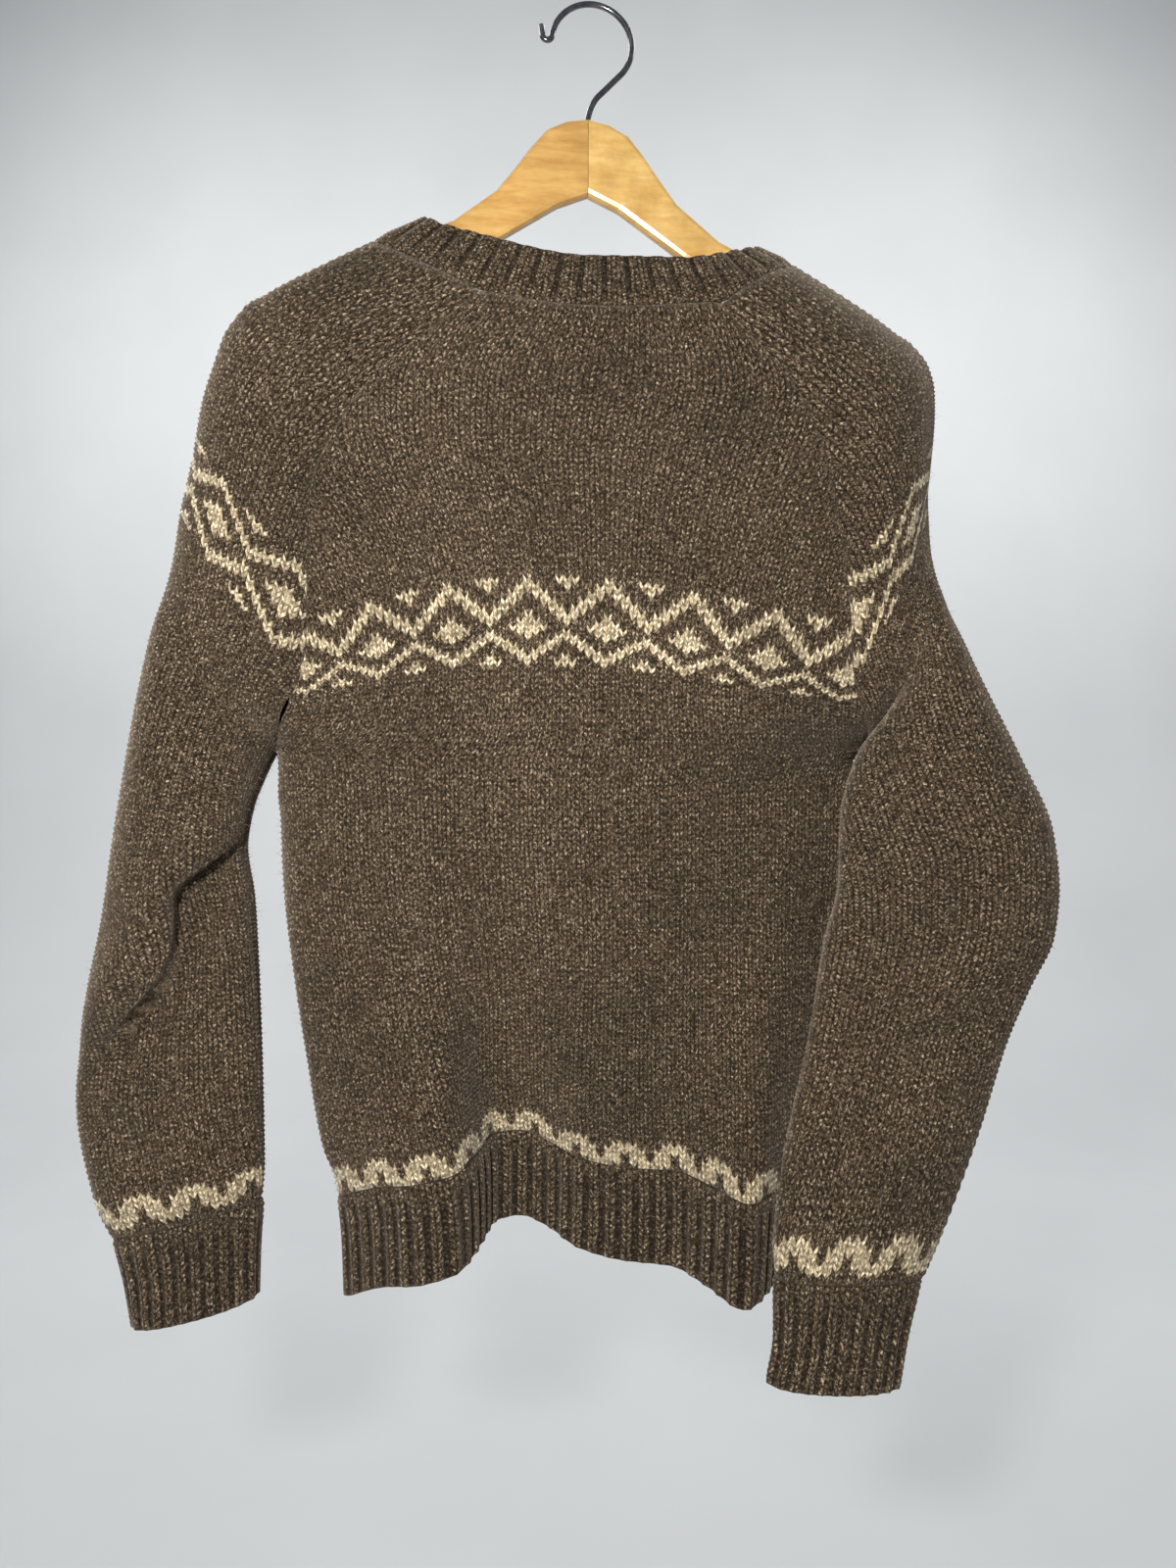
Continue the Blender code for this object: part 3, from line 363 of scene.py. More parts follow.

# Looks, as stops of place and colour: fibres, painted shade between the stitches and nap of each wool
WOOLS = {
    "wool_brown": (
        ((0.36, (0.026, 0.016, 0.008)), (0.47, (0.092, 0.062, 0.035)), (0.56, (0.17, 0.124, 0.078)),
         (0.66, (0.43, 0.343, 0.24))),
        (0.11, 0.085, 0.062), (0.62, 0.52, 0.42)),
    "wool_cream": (
        ((0.28, (0.33, 0.24, 0.14)), (0.45, (0.62, 0.52, 0.35)), (0.65, (0.78, 0.69, 0.5))),
        (0.34, 0.27, 0.19), (0.95, 0.9, 0.8)),
    "wool_inside": (
        ((0.3, (0.045, 0.028, 0.014)), (0.5, (0.105, 0.072, 0.042)), (0.7, (0.22, 0.17, 0.115))),
        (0.6, 0.6, 0.6), (0.62, 0.52, 0.42)),
}
WOOL_CLOUDS = ((0.3, (0.8, 0.8, 0.8)), (0.7, (1.12, 1.12, 1.12)))
WOOL_STRANDS = ((0.36, (0.5, 0.49, 0.47)), (0.5, (0.92, 0.92, 0.92)), (0.64, (1.62, 1.64, 1.67)))

# Turn of the grain in degrees, light and dark wood and scale of the mottling, of each hanger arm
WOODS = {
    "left": (34, (0.76, 0.46, 0.145), (0.54, 0.27, 0.06), 26),
    "right": (-34, (0.86, 0.57, 0.2), (0.68, 0.38, 0.09), 70),
}
WOOD_STRETCH = (9, 60, 60)
WOOD_CLOUDS = ((0.32, (0.84, 0.8, 0.74)), (0.66, (1.08, 1.08, 1.08)))
METAL_TONES = ((0.35, (0.16, 0.16, 0.17)), (0.7, (0.28, 0.28, 0.29)))
PAINT_TONES = ((0.3, (0.585, 0.6, 0.61)), (0.7, (0.615, 0.63, 0.64)))

# Loose fibres: the draw, how many for each grid point, room they need, spread, lengths, width, colour
FIBRE_SEED = 7
FIBRE_SHARE = 0.4
FIBRE_ROOM = 0.001
FIBRE_SPREAD = 1.1
FIBRE_LENGTH = 0.0022
FIBRE_LONGEST = 0.006
FIBRE_WIDTH = 0.00024
FIBRE_COLOUR = (0.26, 0.205, 0.15)


def smooth_step(value, start=0, end=1):
    """Ease from 0 to 1 between two values."""
    value = np.clip((value - start) / (end - start), 0, 1)
    return value * value * (3 - 2 * value)


def read_table(table, key):
    """Read every column of a table at a key in its first column, smoothly and without overshoot."""
    rows = np.array(table, dtype=float)
    keys, values = rows[:, 0], rows[:, 1:]
    steps = np.diff(keys)
    slopes = np.diff(values, axis=0) / steps[:, None]
    tangents = np.zeros_like(values)
    same_way = slopes[:-1] * slopes[1:] > 0
    total = slopes[:-1] + slopes[1:]
    total[~same_way] = 1
    tangents[1:-1] = np.where(same_way, 2 * slopes[:-1] * slopes[1:] / total, 0)
    tangents[[0, -1]] = slopes[[0, -1]]
    key = np.clip(np.asarray(key, dtype=float), keys[0], keys[-1])
    index = np.clip(np.searchsorted(keys, key, side="right") - 1, 0, len(steps) - 1)
    step = steps[index][..., None]
    t = (key - keys[index])[..., None] / step
    before, after = values[index], values[index + 1]
    bend = t * (1 - t) ** 2 * tangents[index] - t * t * (1 - t) * tangents[index + 1]
    return before + (after - before) * smooth_step(t) + step * bend


def full_bulge(share, power=SECTION_POWER):
    """Go 0, 1, 0 across a section that is rounded at both ends."""
    return (1 - np.abs(2 * share - 1) ** power) ** (1 / power)


def end_rise(share):
    """Go from 0 to 1 across a section that is rounded at its first end."""
    return (1 - (1 - share) ** SECTION_POWER) ** (1 / SECTION_POWER)


def soft_bulge(share):
    """Go 0, 1, 0 across a layer that runs on past its seams without a fold."""
    return 1 - np.abs(2 * share - 1) ** 3


def fold_part(seam_share):
    """Give how much of the underarm's fold is left at a share up the yoke."""
    return np.clip(1 - seam_share / FOLD_SHARE, 0, 1)


def seam_bulge(share, seam_share, power=SECTION_POWER):
    """Round a yoke layer off at the underarm and let it run on into its neighbours above."""
    fold = fold_part(seam_share)
    return full_bulge(share, power) * fold + soft_bulge(share) * (1 - fold)


def dense_shares():
    """Give shares from 0 to 1, closest together at both ends."""
    return 0.5 - 0.5 * np.cos(np.linspace(0, math.pi, DENSE))


def even_points(curve, shares):
    """Read a dense curve at shares of its own length."""
    length = np.concatenate([[0], np.cumsum(np.linalg.norm(np.diff(curve, axis=0), axis=1))])
    at = np.asarray(shares) * length[-1]
    return np.stack([np.interp(at, length, curve[:, axis]) for axis in range(3)], axis=1)


def arm_point(side, reach, height):
    """Place a point of a hanger arm: side -1 or 1, distance from the centre line, height."""
    x = HANGER_CENTRE_X + side * reach
    z = height - side * reach * math.tan(HANGER_TILT)
    return x * math.cos(HANGER_YAW), x * math.sin(HANGER_YAW), z


def cap_edge(side, share):
    """Give the fold line over the shoulder: along the hanger, then down from its tip."""
    points = CAP_EDGE_LEFT if side < 0 else CAP_EDGE_RIGHT
    if share <= points[-1][0]:
        return read_table(points, share)
    out = (1 - share) / (1 - HANGER_SHARE)
    reach = min(COLLAR_ARM_REACH + (CAP_ARM_REACH - COLLAR_ARM_REACH) * out, CAP_ARM_REACH)
    top = read_table(ARM_TOP, min(reach, ARM_TOP[-1][0]))[0]
    on_arm = np.array(arm_point(side, reach, top + RIDGE_CLEAR))
    ease = smooth_step(share, points[-1][0], HANGER_SHARE)
    return np.array(points[-1][1:]) * (1 - ease) + on_arm * ease


def fold_line(x, z, start, end, half_width):
    """Give how far points lie to one side of a fold's line, and how near they are to the fold."""
    along = np.subtract(end, start)
    length = np.linalg.norm(along)
    along = along / length
    t = (x - start[0]) * along[0] + (z - start[1]) * along[1]
    side = (x - start[0]) * along[1] - (z - start[1]) * along[0]
    near = smooth_step(t, -half_width, half_width)
    near = near * smooth_step(length - t, -half_width, half_width)
    return side, near * np.exp(-((side / half_width) ** 2))


def fold_offset(folds, across, down, width, height):
    """Add up a layer's folds; positive moves the cloth inwards."""
    offset = np.zeros_like(across)
    for kind, start_across, start_down, end_across, end_down, half_width, depth in folds:
        start = (start_across * width, -start_down * height)
        end = (end_across * width, -end_down * height)
        side, near = fold_line(across * width, -down * height, start, end, half_width)
        offset += depth * near * (np.tanh(-2 * side / half_width) if kind == "lap" else 1)
    return offset


def sleeve_half(outer, inner, bulge, seam_share=0):
    """Give one layer of a sleeve from its outer fold to its inner line or yoke seam."""
    share = dense_shares()
    curve = outer + (inner - outer) * share[:, None]
    fold = fold_part(seam_share)
    rise = share * fold + end_rise(share) * (1 - fold)
    curve[:, 1] = outer[1] + (inner[1] - outer[1]) * rise + bulge * seam_bulge(share, seam_share)
    return curve


def sleeve_section(side, table, share, folds):
    """Give a sleeve tube's back and front layer at a share, each from the outer edge inwards."""
    row = read_table(table, share)
    back, front = (sleeve_half(row[0:3], row[3:6], bulge) for bulge in row[6:8])
    across = dense_shares()
    back[:, 0] -= side * row[8] * np.sin(math.pi * across ** OVERHANG_POWER)
    if folds:
        width = 0.5 * math.pi * abs(table[WIDEST][1] - table[WIDEST][4])
        height = abs(table[-1][3] - table[0][3])
        back[:, 1] += full_bulge(across) * fold_offset(folds, across, share, width, height)
    return back, front


def cap_section(side, share):
    """Give a sleeve cap's back and front layer at a yoke share, from the fold to the seams."""
    outer = cap_edge(side, share)
    seams = (SEAM_BACK_LEFT, SEAM_FRONT_LEFT) if side < 0 else (SEAM_BACK_RIGHT, SEAM_FRONT_RIGHT)
    bulges = read_table(CAP_BULGE, share)[1 + side:]
    return [sleeve_half(outer, read_table(seam, share), bulge, share)
            for seam, bulge in zip(seams, bulges)]


def right_side_flat(across, front):
    """Flatten the back at its right, where the sleeve hangs before it."""
    return 0 if front else RIGHT_FLAT * smooth_step(across, RIGHT_FLAT_START)


def yoke_layer(share, front):
    """Give the back or front at a yoke share, from its left seam to its right seam as worn out."""
    seams = (SEAM_FRONT_RIGHT, SEAM_FRONT_LEFT) if front else (SEAM_BACK_LEFT, SEAM_BACK_RIGHT)
    start, end = (read_table(seam, share) for seam in seams)
    middle = read_table(YOKE_MIDDLE, share)
    depth, arch = middle[2:] if front else middle[:2]
    across = dense_shares()
    curve = start + (end - start) * across[:, None]
    flat = right_side_flat(across, front) * fold_part(share)
    bulge = seam_bulge(across, share, UNDERARM_POWER)
    curve[:, 1] += (depth - 0.5 * (start[1] + end[1])) * bulge * (1 - flat)
    lean = 0 if front else ARCH_LEAN * (1 - 2 * across)
    rise = soft_bulge(across) if front else np.sin(math.pi * across)
    curve[:, 2] += arch * (1 + lean) * rise
    return curve


def body_layer(row, front):
    """Give the back or front at a knit row below the underarm."""
    left_x, right_x, side_z, left_y, right_y, back_y, front_y = read_table(BODY_SECTIONS, row)
    left = np.array([left_x, left_y, side_z])
    right = np.array([right_x, right_y, side_z])
    start, end = (right, left) if front else (left, right)
    depth = front_y if front else back_y
    across = dense_shares()
    curve = start + (end - start) * across[:, None]
    flat = right_side_flat(across, front)
    tight = smooth_step(row, POWER_ROW, UNDERARM_ROW)
    power = SECTION_POWER + (UNDERARM_POWER - SECTION_POWER) * tight
    curve[:, 1] += (depth - 0.5 * (start[1] + end[1])) * full_bulge(across, power) * (1 - flat)
    sag = YOKE_MIDDLE[0][2] * smooth_step(row, SAG_ROW, UNDERARM_ROW)
    curve[:, 2] += sag * np.sin(math.pi * across)
    hem = read_table(HEM_FRONT if front else HEM_BACK, across)
    bottom = BODY_SECTIONS[0]
    wave = 1 - smooth_step(row, 0, HEM_WAVE_TOP_ROW)
    end_mix = np.clip(full_bulge(across) * HEM_END_MIX, 0, 1)
    chord = start[1] + (end[1] - start[1]) * across
    hem_chord = hem[0, 0] + (hem[-1, 0] - hem[0, 0]) * across
    target = chord + hem[:, 0] - hem_chord
    curve[:, 1] += (target - curve[:, 1]) * wave * end_mix
    curve[:, 2] += (hem[:, 1] - bottom[3]) * wave
    return curve


def yoke_share(row):
    """Give how far up the yoke its own row lies."""
    return read_table(YOKE_PACE, row / YOKE_ROWS)[0]


def softened(stack, first):
    """Spread a panel's turn at the underarm over more rows, and leave its seams where they are."""
    place = np.arange(len(stack))
    away = np.arange(-int(2 * SOFT_SPREAD), int(2 * SOFT_SPREAD) + 1)
    parts = np.exp(-0.5 * (away / SOFT_SPREAD) ** 2)
    spread = np.zeros_like(stack)
    for step, part in zip(away, parts / parts.sum()):
        spread += part * stack[np.clip(place + step, 0, len(stack) - 1)]
    near = np.exp(-(((place + first - UNDERARM_ROW) / SOFT_REACH) ** 2))
    across = dense_shares()
    inside = smooth_step(np.minimum(across, 1 - across) / SOFT_SIDES)
    return list(stack + (spread - stack) * near[:, None, None] * inside[None, :, None])


def panel_curves(first, last, front):
    """Give the back's or front's line at each knit row, as dense points."""
    curves = [body_layer(row, front) for row in range(first, min(last, UNDERARM_ROW) + 1)]
    for row in range(UNDERARM_ROW + 1, last + 1):
        curves.append(yoke_layer(yoke_share(row - UNDERARM_ROW), front))
    return softened(np.array(curves), first)


def ring_curve(back, front, side):
    """Join a sleeve's two layers into one line that runs the way the outside is seen."""
    if side < 0:
        return np.concatenate([front[::-1], back[1:]])
    return np.concatenate([back[::-1], front[1:]])


def dipped(curves):
    """Let a sleeve's rows dip between their seams, as the cloth sags round the shoulder."""
    stack = np.array(curves)
    half = dense_shares()
    profile = 1 - np.concatenate([half[::-1], half[1:]]) ** DIP_POWER
    column = np.arange(stack.shape[1])
    rows = []
    for row in range(len(stack)):
        at = np.clip(row - read_table(SLEEVE_DIP, row)[0] * profile, 0, len(stack) - 1)
        low = np.minimum(at.astype(int), len(stack) - 2)
        part = (at - low)[:, None]
        rows.append(stack[low, column] * (1 - part) + stack[low + 1, column] * part)
    return rows


def tube_curves(side, table, rows, folds=()):
    """Give a sleeve's or cuff's ring at each of its rows, from its lower end up."""
    return [ring_curve(*sleeve_section(side, table, 1 - row / rows, folds), side)
            for row in range(rows + 1)]


def sleeve_curves(side, table, folds):
    """Give a sleeve's line at each of its rows: closed rings to the underarm, then its cap."""
    curves = tube_curves(side, table, SLEEVE_ROWS, folds)
    for row in range(1, YOKE_ROWS + 1):
        curves.append(ring_curve(*cap_section(side, yoke_share(row)), side))
    return dipped(curves)


def half_points(curve, shares):
    """Read a line of two equally dense halves, each at shares of its own length."""
    middle = len(curve) // 2
    first = even_points(curve[:middle + 1], np.clip(2 * shares, 0, 1))
    second = even_points(curve[middle:], np.clip(2 * shares - 1, 0, 1))
    return np.where((shares < 0.5)[:, None], first, second)


def stitch_shares(count, widest, denser):
    """Place half-stitch columns across a row that has fewer stitches than the piece's widest."""
    place = np.arange(-widest, widest + 1) / 2
    return np.clip(0.5 + place / (count * np.where(place < 0, denser, 1)), 0, 1)


def plain_piece(curves, table, first_row, reader, left=((0, 1), (1, 1))):
    """Lay a plain piece's half-stitch columns on each row, and describe them: V-shaped, sunk at seams."""
    widest = int(max(count for _, count in table)) + SPARE_STITCHES
    grid = []
    depth = []
    for row, curve in enumerate(curves):
        count = read_table(table, first_row + row)[0]
        shares = stitch_shares(count, widest, read_table(left, first_row + row)[0])
        grid.append(reader(curve, shares))
        depth.append(np.minimum(shares, 1 - shares) * count)
    rise = np.where(np.arange(2 * widest + 1) % 2 == 0, 1, 0)
    return np.array(grid), {
        "rise": rise,
        "base": np.full(len(rise), LEG_LOW),
        "crest": np.full(len(rise) - 1, LEG_HIGH - LEG_LOW),
        "sink": -SEAM_SINK * np.exp(-((np.array(depth) / SEAM_REACH) ** 2)),
        "joined": None,
        "free": (False, False),
    }


def collar_points(curves, ribs, columns_per_rib):
    """Lay the collar's columns on each of its rows: the back from left to right, then the front."""
    left, right = curves["sleeve_left"][-1], curves["sleeve_right"][-1]
    middle = len(left) // 2
    across = np.linspace(0, 1, DENSE)
    seam = (np.concatenate([left[middle:], curves["back"][-1][1:], right[1:middle + 1]]),
            np.concatenate([right[middle:], curves["front"][-1][1:], left[1:middle + 1]]))
    top = read_table(COLLAR_TOP_BACK, across), read_table(COLLAR_TOP_FRONT, across)
    shares = np.linspace(0, 1, ribs * columns_per_rib // 2 + 1)
    low, high = (np.concatenate([even_points(back, shares), even_points(front, shares)[1:]])
                 for back, front in (seam, top))
    return np.array([low + (high - low) * share for share in np.linspace(0, 1, COLLAR_ROWS + 1)])


def grid_normals(grid, closed):
    """Give the outward direction at every grid point, from the points around it."""
    across = np.gradient(grid, axis=1)
    up = np.gradient(grid, axis=0)
    for row in range(len(grid)):
        line = grid[row]
        length = np.linalg.norm(np.diff(line, axis=0), axis=1)
        real = np.nonzero(length > SAME_POINT)[0]
        first, last = real[0], real[-1] + 1
        across[row, :first + 1] = line[first + 1] - line[first]
        across[row, last:] = line[last] - line[last - 1]
        up[row, :first + 1] = up[row, first]
        up[row, last:] = up[row, last]
        if closed[row]:
            across[row, :first + 1] += across[row, -1]
            across[row, last:] = across[row, 0]
    return unit(np.cross(across, up))


def point_key(point):
    """Round a point, so that the same seam point of two pieces is known as one."""
    return tuple(np.round(point * SEAM_STEPS).astype(int))


def share_seam_normals(grids, normals):
    """Give pieces that meet on a seam the same outward direction there."""
    total = {}
    places = [(name, row, column) for name, grid in grids.items()
              for row in range(len(grid)) for column in (0, -1)]
    for name, row, column in places:
        key = point_key(grids[name][row, column])
        total[key] = total.get(key, np.zeros(3)) + normals[name][row, column]
    for name, row, column in places:
        line = grids[name][row]
        same = np.linalg.norm(line - line[column], axis=1) < SAME_POINT
        normals[name][row, same] = unit(total[point_key(line[column])])


def crease_depth(points, normals):
    """Add up the listed soft folds; positive lifts the cloth outwards."""
    lift = np.zeros(points.shape[:-1])
    for kind, layer, rows in CREASES:
        facing = np.clip(normals[..., 1] * (-1 if layer == "back" else 1), 0, 1)
        for row in rows:
            x0, z0, x1, z1, half_width, height = 0.001 * np.array(row)
            side, near = fold_line(points[..., 0], points[..., 2], (x0, z0), (x1, z1), half_width)
            lift += height * facing * near * (np.tanh(side / LAP_SHARPNESS) if kind == "lap" else 1)
    return lift


def chart_cell(chart, column, row):
    """Say whether a chart has the cream yarn at a stitch; rows count up from its lowest line."""
    if not 0 <= row < len(chart):
        return False
    line = chart[len(chart) - 1 - row]
    return line[column % len(line)] == "#"


def is_cream(name, stitch, row):
    """Say whether a piece has the cream yarn at a stitch: waves over its rib, and diamonds above."""
    first, diamonds, waves = BANDS[name]
    diamond = chart_cell(DIAMOND_CHART, stitch - first, row - diamonds)
    return diamond or chart_cell(WAVE_CHART, stitch, row - waves)


def add_item(name, data):
    """Put an object with its data into the scene."""
    item = bpy.data.objects.new(name, data)
    bpy.context.scene.collection.objects.link(item)
    return item


def add_mesh(name, points, faces, materials):
    """Put a mesh into the scene."""
    mesh = bpy.data.meshes.new(name)
    mesh.from_pydata(points, [], faces)
    for material in materials:
        mesh.materials.append(material)
    return add_item(name, mesh)


def joined_triangles(corners, painted_shade):
    """Weld triangles given by their corners and the painted shade at them, and drop those without area."""
    flat = corners.reshape(-1, 3)
    _, first, index = np.unique(np.round(flat * MESH_STEPS).astype(np.int64), axis=0,
                                return_index=True, return_inverse=True)
    index = index.reshape(-1, 3)
    whole = np.all(index != np.roll(index, 1, axis=1), axis=1)
    return flat[first], index[whole], painted_shade.reshape(-1)[first], whole


def quad_triangles(a, b, c, d):
    """Split quads into two triangles each."""
    return np.concatenate([np.stack([a, b, c], axis=1), np.stack([a, c, d], axis=1)])


def rim_triangles(outer, inner, outwards, free, flip):
    """Close the edge between two lines of the same count, rounded where no other piece follows."""
    middle = 0.5 * (outer + inner) + outwards * (EDGE_ROUND if free else 0)
    parts = []
    for first, second in ((inner, middle), (middle, outer)):
        quads = [first[:-1], first[1:], second[1:], second[:-1]]
        parts.append(quad_triangles(*(quads[::-1] if flip else quads)))
    return np.concatenate(parts)


def unit(vectors):
    """Scale vectors to length one."""
    return vectors / np.maximum(np.linalg.norm(vectors, axis=-1, keepdims=True), 1e-12)


def joined_share(rows, joined):
    """Give each row's nearness to the edge at which a ribbed piece is knitted on."""
    place = np.arange(rows + 1)
    if joined == "top":
        place = rows - place
    return np.exp(-((place / RIB_FADE_ROWS) ** 2)) * (joined is not None)


def knit_shell(name, grid, normals, closed, columns, thick, materials):
    """Make one knitted piece: stitches outside, a plain inside and rounded edges between them."""
    crest = columns["crest"]
    rows = len(grid) - 1
    joined = joined_share(rows, columns["joined"])
    thick = (thick + (KNIT_THICK - thick) * joined)[:, None]
    base = columns["base"] + (LEG_LOW - columns["base"]) * joined[:, None]
    outer = grid + normals * (0.5 * thick + base + columns["sink"])[..., None]
    inner = grid - normals * (0.5 * thick)[..., None]
    steps = np.clip(np.arange(-1, rows + 1)[:, None] + columns["rise"][None, :], 0, rows)
    column = np.arange(grid.shape[1])[None, :]
    corner = outer[steps, column]
    facing = normals[steps, column]
    a, b = corner[:-1, :-1], corner[:-1, 1:]
    c, d = corner[1:, 1:], corner[1:, :-1]
    area = 0.5 * np.linalg.norm(np.cross(c - a, d - b), axis=2)
    usual = np.median(area[area > NO_AREA])
    facing = unit(facing[:-1, :-1] + facing[:-1, 1:] + facing[1:, 1:] + facing[1:, :-1])
    level = 0.5 * (joined[steps[:-1, 0]] + joined[steps[1:, 0]])[:, None]
    height = crest[None, :] + (LEG_HIGH - LEG_LOW - crest[None, :]) * level
    height = height * np.clip(area / usual, 0, 1)
    middle = 0.25 * (a + b + c + d) + facing * height[..., None]
    real = area > SLIVER * usual
    sides = ((a, b), (b, c), (c, d), (d, a))
    stitches = np.concatenate([np.stack([first[real], second[real], middle[real]], axis=1)
                               for first, second in sides])
    # Painted shade between the stitches: their corners get 0, which the wool paints dark, their middle 1,
    # or less on a purl stitch
    painted_shade = np.zeros(stitches.shape[:2])
    purl_painted_shade = 1 - (1 - PURL_PAINTED_SHADE) * (crest < 0)[None, :] * (1 - level)
    painted_shade[:, 2] = np.tile(purl_painted_shade[real], 4)
    colour = np.zeros(area.shape, dtype=int)
    if name in BANDS:
        half = (grid.shape[1] - 1) // 4
        for row, place in np.ndindex(colour.shape):
            colour[row, place] = is_cream(name, place // 2 - half, row)
    coarse = np.unique(np.append(np.arange(0, rows + 1, INNER_STEP), rows))
    low, high = inner[coarse[:-1]], inner[coarse[1:]]
    quads = (high[:, :-1], high[:, 1:], low[:, 1:], low[:, :-1])
    plain = [quad_triangles(*(points.reshape(-1, 3) for points in quads))]
    low_free, high_free = columns["free"]
    plain.append(rim_triangles(outer[0], inner[0], unit(grid[0] - grid[1]), low_free, False))
    plain.append(rim_triangles(outer[-1], inner[-1], unit(grid[-1] - grid[-2]), high_free, True))
    for place, flip in ((0, True), (-1, False)):
        fan = []
        for start, end in zip(coarse[:-1], coarse[1:]):
            if closed[start] and closed[end]:
                continue
            turn = (start + end) // 2
            for row in range(start, end):
                near = inner[start if row < turn else end, place]
                fan.append([near, outer[row, place], outer[row + 1, place]])
            fan.append([inner[start, place], outer[turn, place], inner[end, place]])
        if fan:
            fan = np.array(fan)
            plain.append(fan if flip else fan[:, ::-1])
    plain = np.concatenate(plain)
    corners = np.concatenate([stitches, plain])
    # The plain inside and rims get one level of painted shade
    painted_shade = np.concatenate([painted_shade, np.full(plain.shape[:2], PLAIN_PAINTED_SHADE)])
    colours = np.concatenate([np.tile(colour[real], 4), np.full(len(plain), 2)])
    points, faces, painted_shade, whole = joined_triangles(corners, painted_shade)
    item = add_mesh(name + "_knit", points.tolist(), faces.tolist(), materials)
    item.data.polygons.foreach_set("material_index", colours[whole])
    # The crest attribute carries this painted shade to the wool materials
    layer = item.data.attributes.new("crest", "FLOAT", "POINT")
    layer.data.foreach_set("value", painted_shade)
    item.data.shade_smooth()
    item.data.update()
    return item


def rib_columns(ribs, knit, joined):
    """Describe a ribbed piece's columns: its knit stitches raised and one purl stitch sunk, in turn."""
    rise = np.tile([1] + [0, 1] * knit, ribs)
    base = np.tile([RIB_SHOULDER] + [RIB_CROWN] * (2 * knit - 1) + [RIB_SHOULDER], ribs)
    return {
        "rise": np.append(rise, rise[0]),
        "base": np.append(base, base[0]),
        "crest": np.tile([LEG_HIGH] * (2 * knit) + [RIB_VALLEY], ribs),
        "sink": 0,
        "joined": joined,
        "free": (joined == "top", joined == "bottom"),
    }


def knit_grids():
    """Lay every knitted piece's grid, and say which of its rows are closed rings."""
    curves = {
        "back": panel_curves(HEM_ROWS, PANEL_TOP, False),
        "front": panel_curves(HEM_ROWS, PANEL_TOP, True),
        "sleeve_left": sleeve_curves(-1, SLEEVE_LEFT, SLEEVE_LEFT_FOLDS),
        "sleeve_right": sleeve_curves(1, SLEEVE_RIGHT, SLEEVE_RIGHT_FOLDS),
    }
    ribbed = {
        "hem_rib_back": (panel_curves(0, HEM_ROWS, False), HEM_KNIT_RIBS, even_points),
        "hem_rib_front": (panel_curves(0, HEM_ROWS, True), HEM_KNIT_RIBS, even_points),
        "cuff_left": (tube_curves(-1, CUFF_LEFT, CUFF_ROWS), CUFF_KNIT_RIBS, half_points),
        "cuff_right": (tube_curves(1, CUFF_RIGHT, CUFF_ROWS), CUFF_KNIT_RIBS, half_points),
    }
    panel = (PANEL_STITCHES, HEM_ROWS, even_points, LEFT_DENSER)
    sleeve = (SLEEVE_STITCHES, 0, half_points)
    grids, columns, closed = {}, {}, {}
    for name, lines in curves.items():
        tube = name.startswith("sleeve")
        grids[name], columns[name] = plain_piece(lines, *(sleeve if tube else panel))
        closed[name] = [tube and row <= SLEEVE_ROWS for row in range(len(lines))]
    for name, (lines, ribs, reader) in ribbed.items():
        shares = np.linspace(0, 1, 3 * ribs + 1)
        grids[name] = np.array([reader(line, shares) for line in lines])
        columns[name] = rib_columns(ribs, 1, "top")
        closed[name] = [name.startswith("cuff")] * len(lines)
    grids["neckband"] = collar_points(curves, COLLAR_KNIT_RIBS, 2 * COLLAR_RIB_STITCHES + 1)
    columns["neckband"] = rib_columns(COLLAR_KNIT_RIBS, COLLAR_RIB_STITCHES, "bottom")
    closed["neckband"] = [True] * (COLLAR_ROWS + 1)
    return grids, columns, closed


def build_knit(materials):
    """Build the nine knitted pieces; each rides and stands for its solid."""
    grids, columns, closed = knit_grids()
    normals = {name: grid_normals(grid, closed[name]) for name, grid in grids.items()}
    share_seam_normals(grids, normals)
    for name, grid in grids.items():
        lift = crease_depth(grid, normals[name])
        grids[name] = grid + normals[name] * lift[..., None]
        thick = COLLAR_THICK if name == "neckband" else KNIT_THICK
        piece = knit_shell(name, drawn_in(grids[name]), normals[name], closed[name], columns[name],
                           thick, materials)
        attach(piece, "root")
        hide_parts(name)
    build_fibres(grids, normals)


def build_fibres(grids, normals):
    """Stand sparse loose fibres of the wool off every knitted piece."""
    draw = np.random.default_rng(FIBRE_SEED)
    blades = []
    for name, grid in grids.items():
        count = int(FIBRE_SHARE * grid.shape[0] * grid.shape[1])
        row = draw.integers(1, grid.shape[0] - 1, count)
        column = draw.integers(1, grid.shape[1] - 1, count)
        real = np.linalg.norm(grid[row, column + 1] - grid[row, column - 1], axis=1) > FIBRE_ROOM
        row, column = row[real], column[real]
        out = normals[name][row, column]
        root = grid[row, column] + out * 0.5 * KNIT_THICK
        way = unit(out + FIBRE_SPREAD * draw.uniform(-1, 1, root.shape))
        long = np.minimum(draw.exponential(FIBRE_LENGTH, len(root)), FIBRE_LONGEST)[:, None]
        side = unit(np.cross(way, draw.normal(size=root.shape))) * 0.5 * FIBRE_WIDTH
        blades.append(np.stack([root - side, root + side, root + way * long], axis=1))
    corners = np.concatenate(blades).reshape(-1, 3)
    faces = np.arange(len(corners)).reshape(-1, 3)
    material, _, shader = new_material("wool_fibres", Roughness=0.9)
    shader.inputs["Base Color"].default_value = (*FIBRE_COLOUR, 1)
    item = add_mesh("loose_fibres", corners.tolist(), faces.tolist(), [material])
    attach(item, "root")


def drawn_in(grid):
    """Draw a piece's lowest and highest row in by half a seam gap."""
    result = grid.copy()
    result[0] += unit(grid[1] - grid[0]) * 0.5 * SEAM_GAP
    result[-1] += unit(grid[-2] - grid[-1]) * 0.5 * SEAM_GAP
    return result


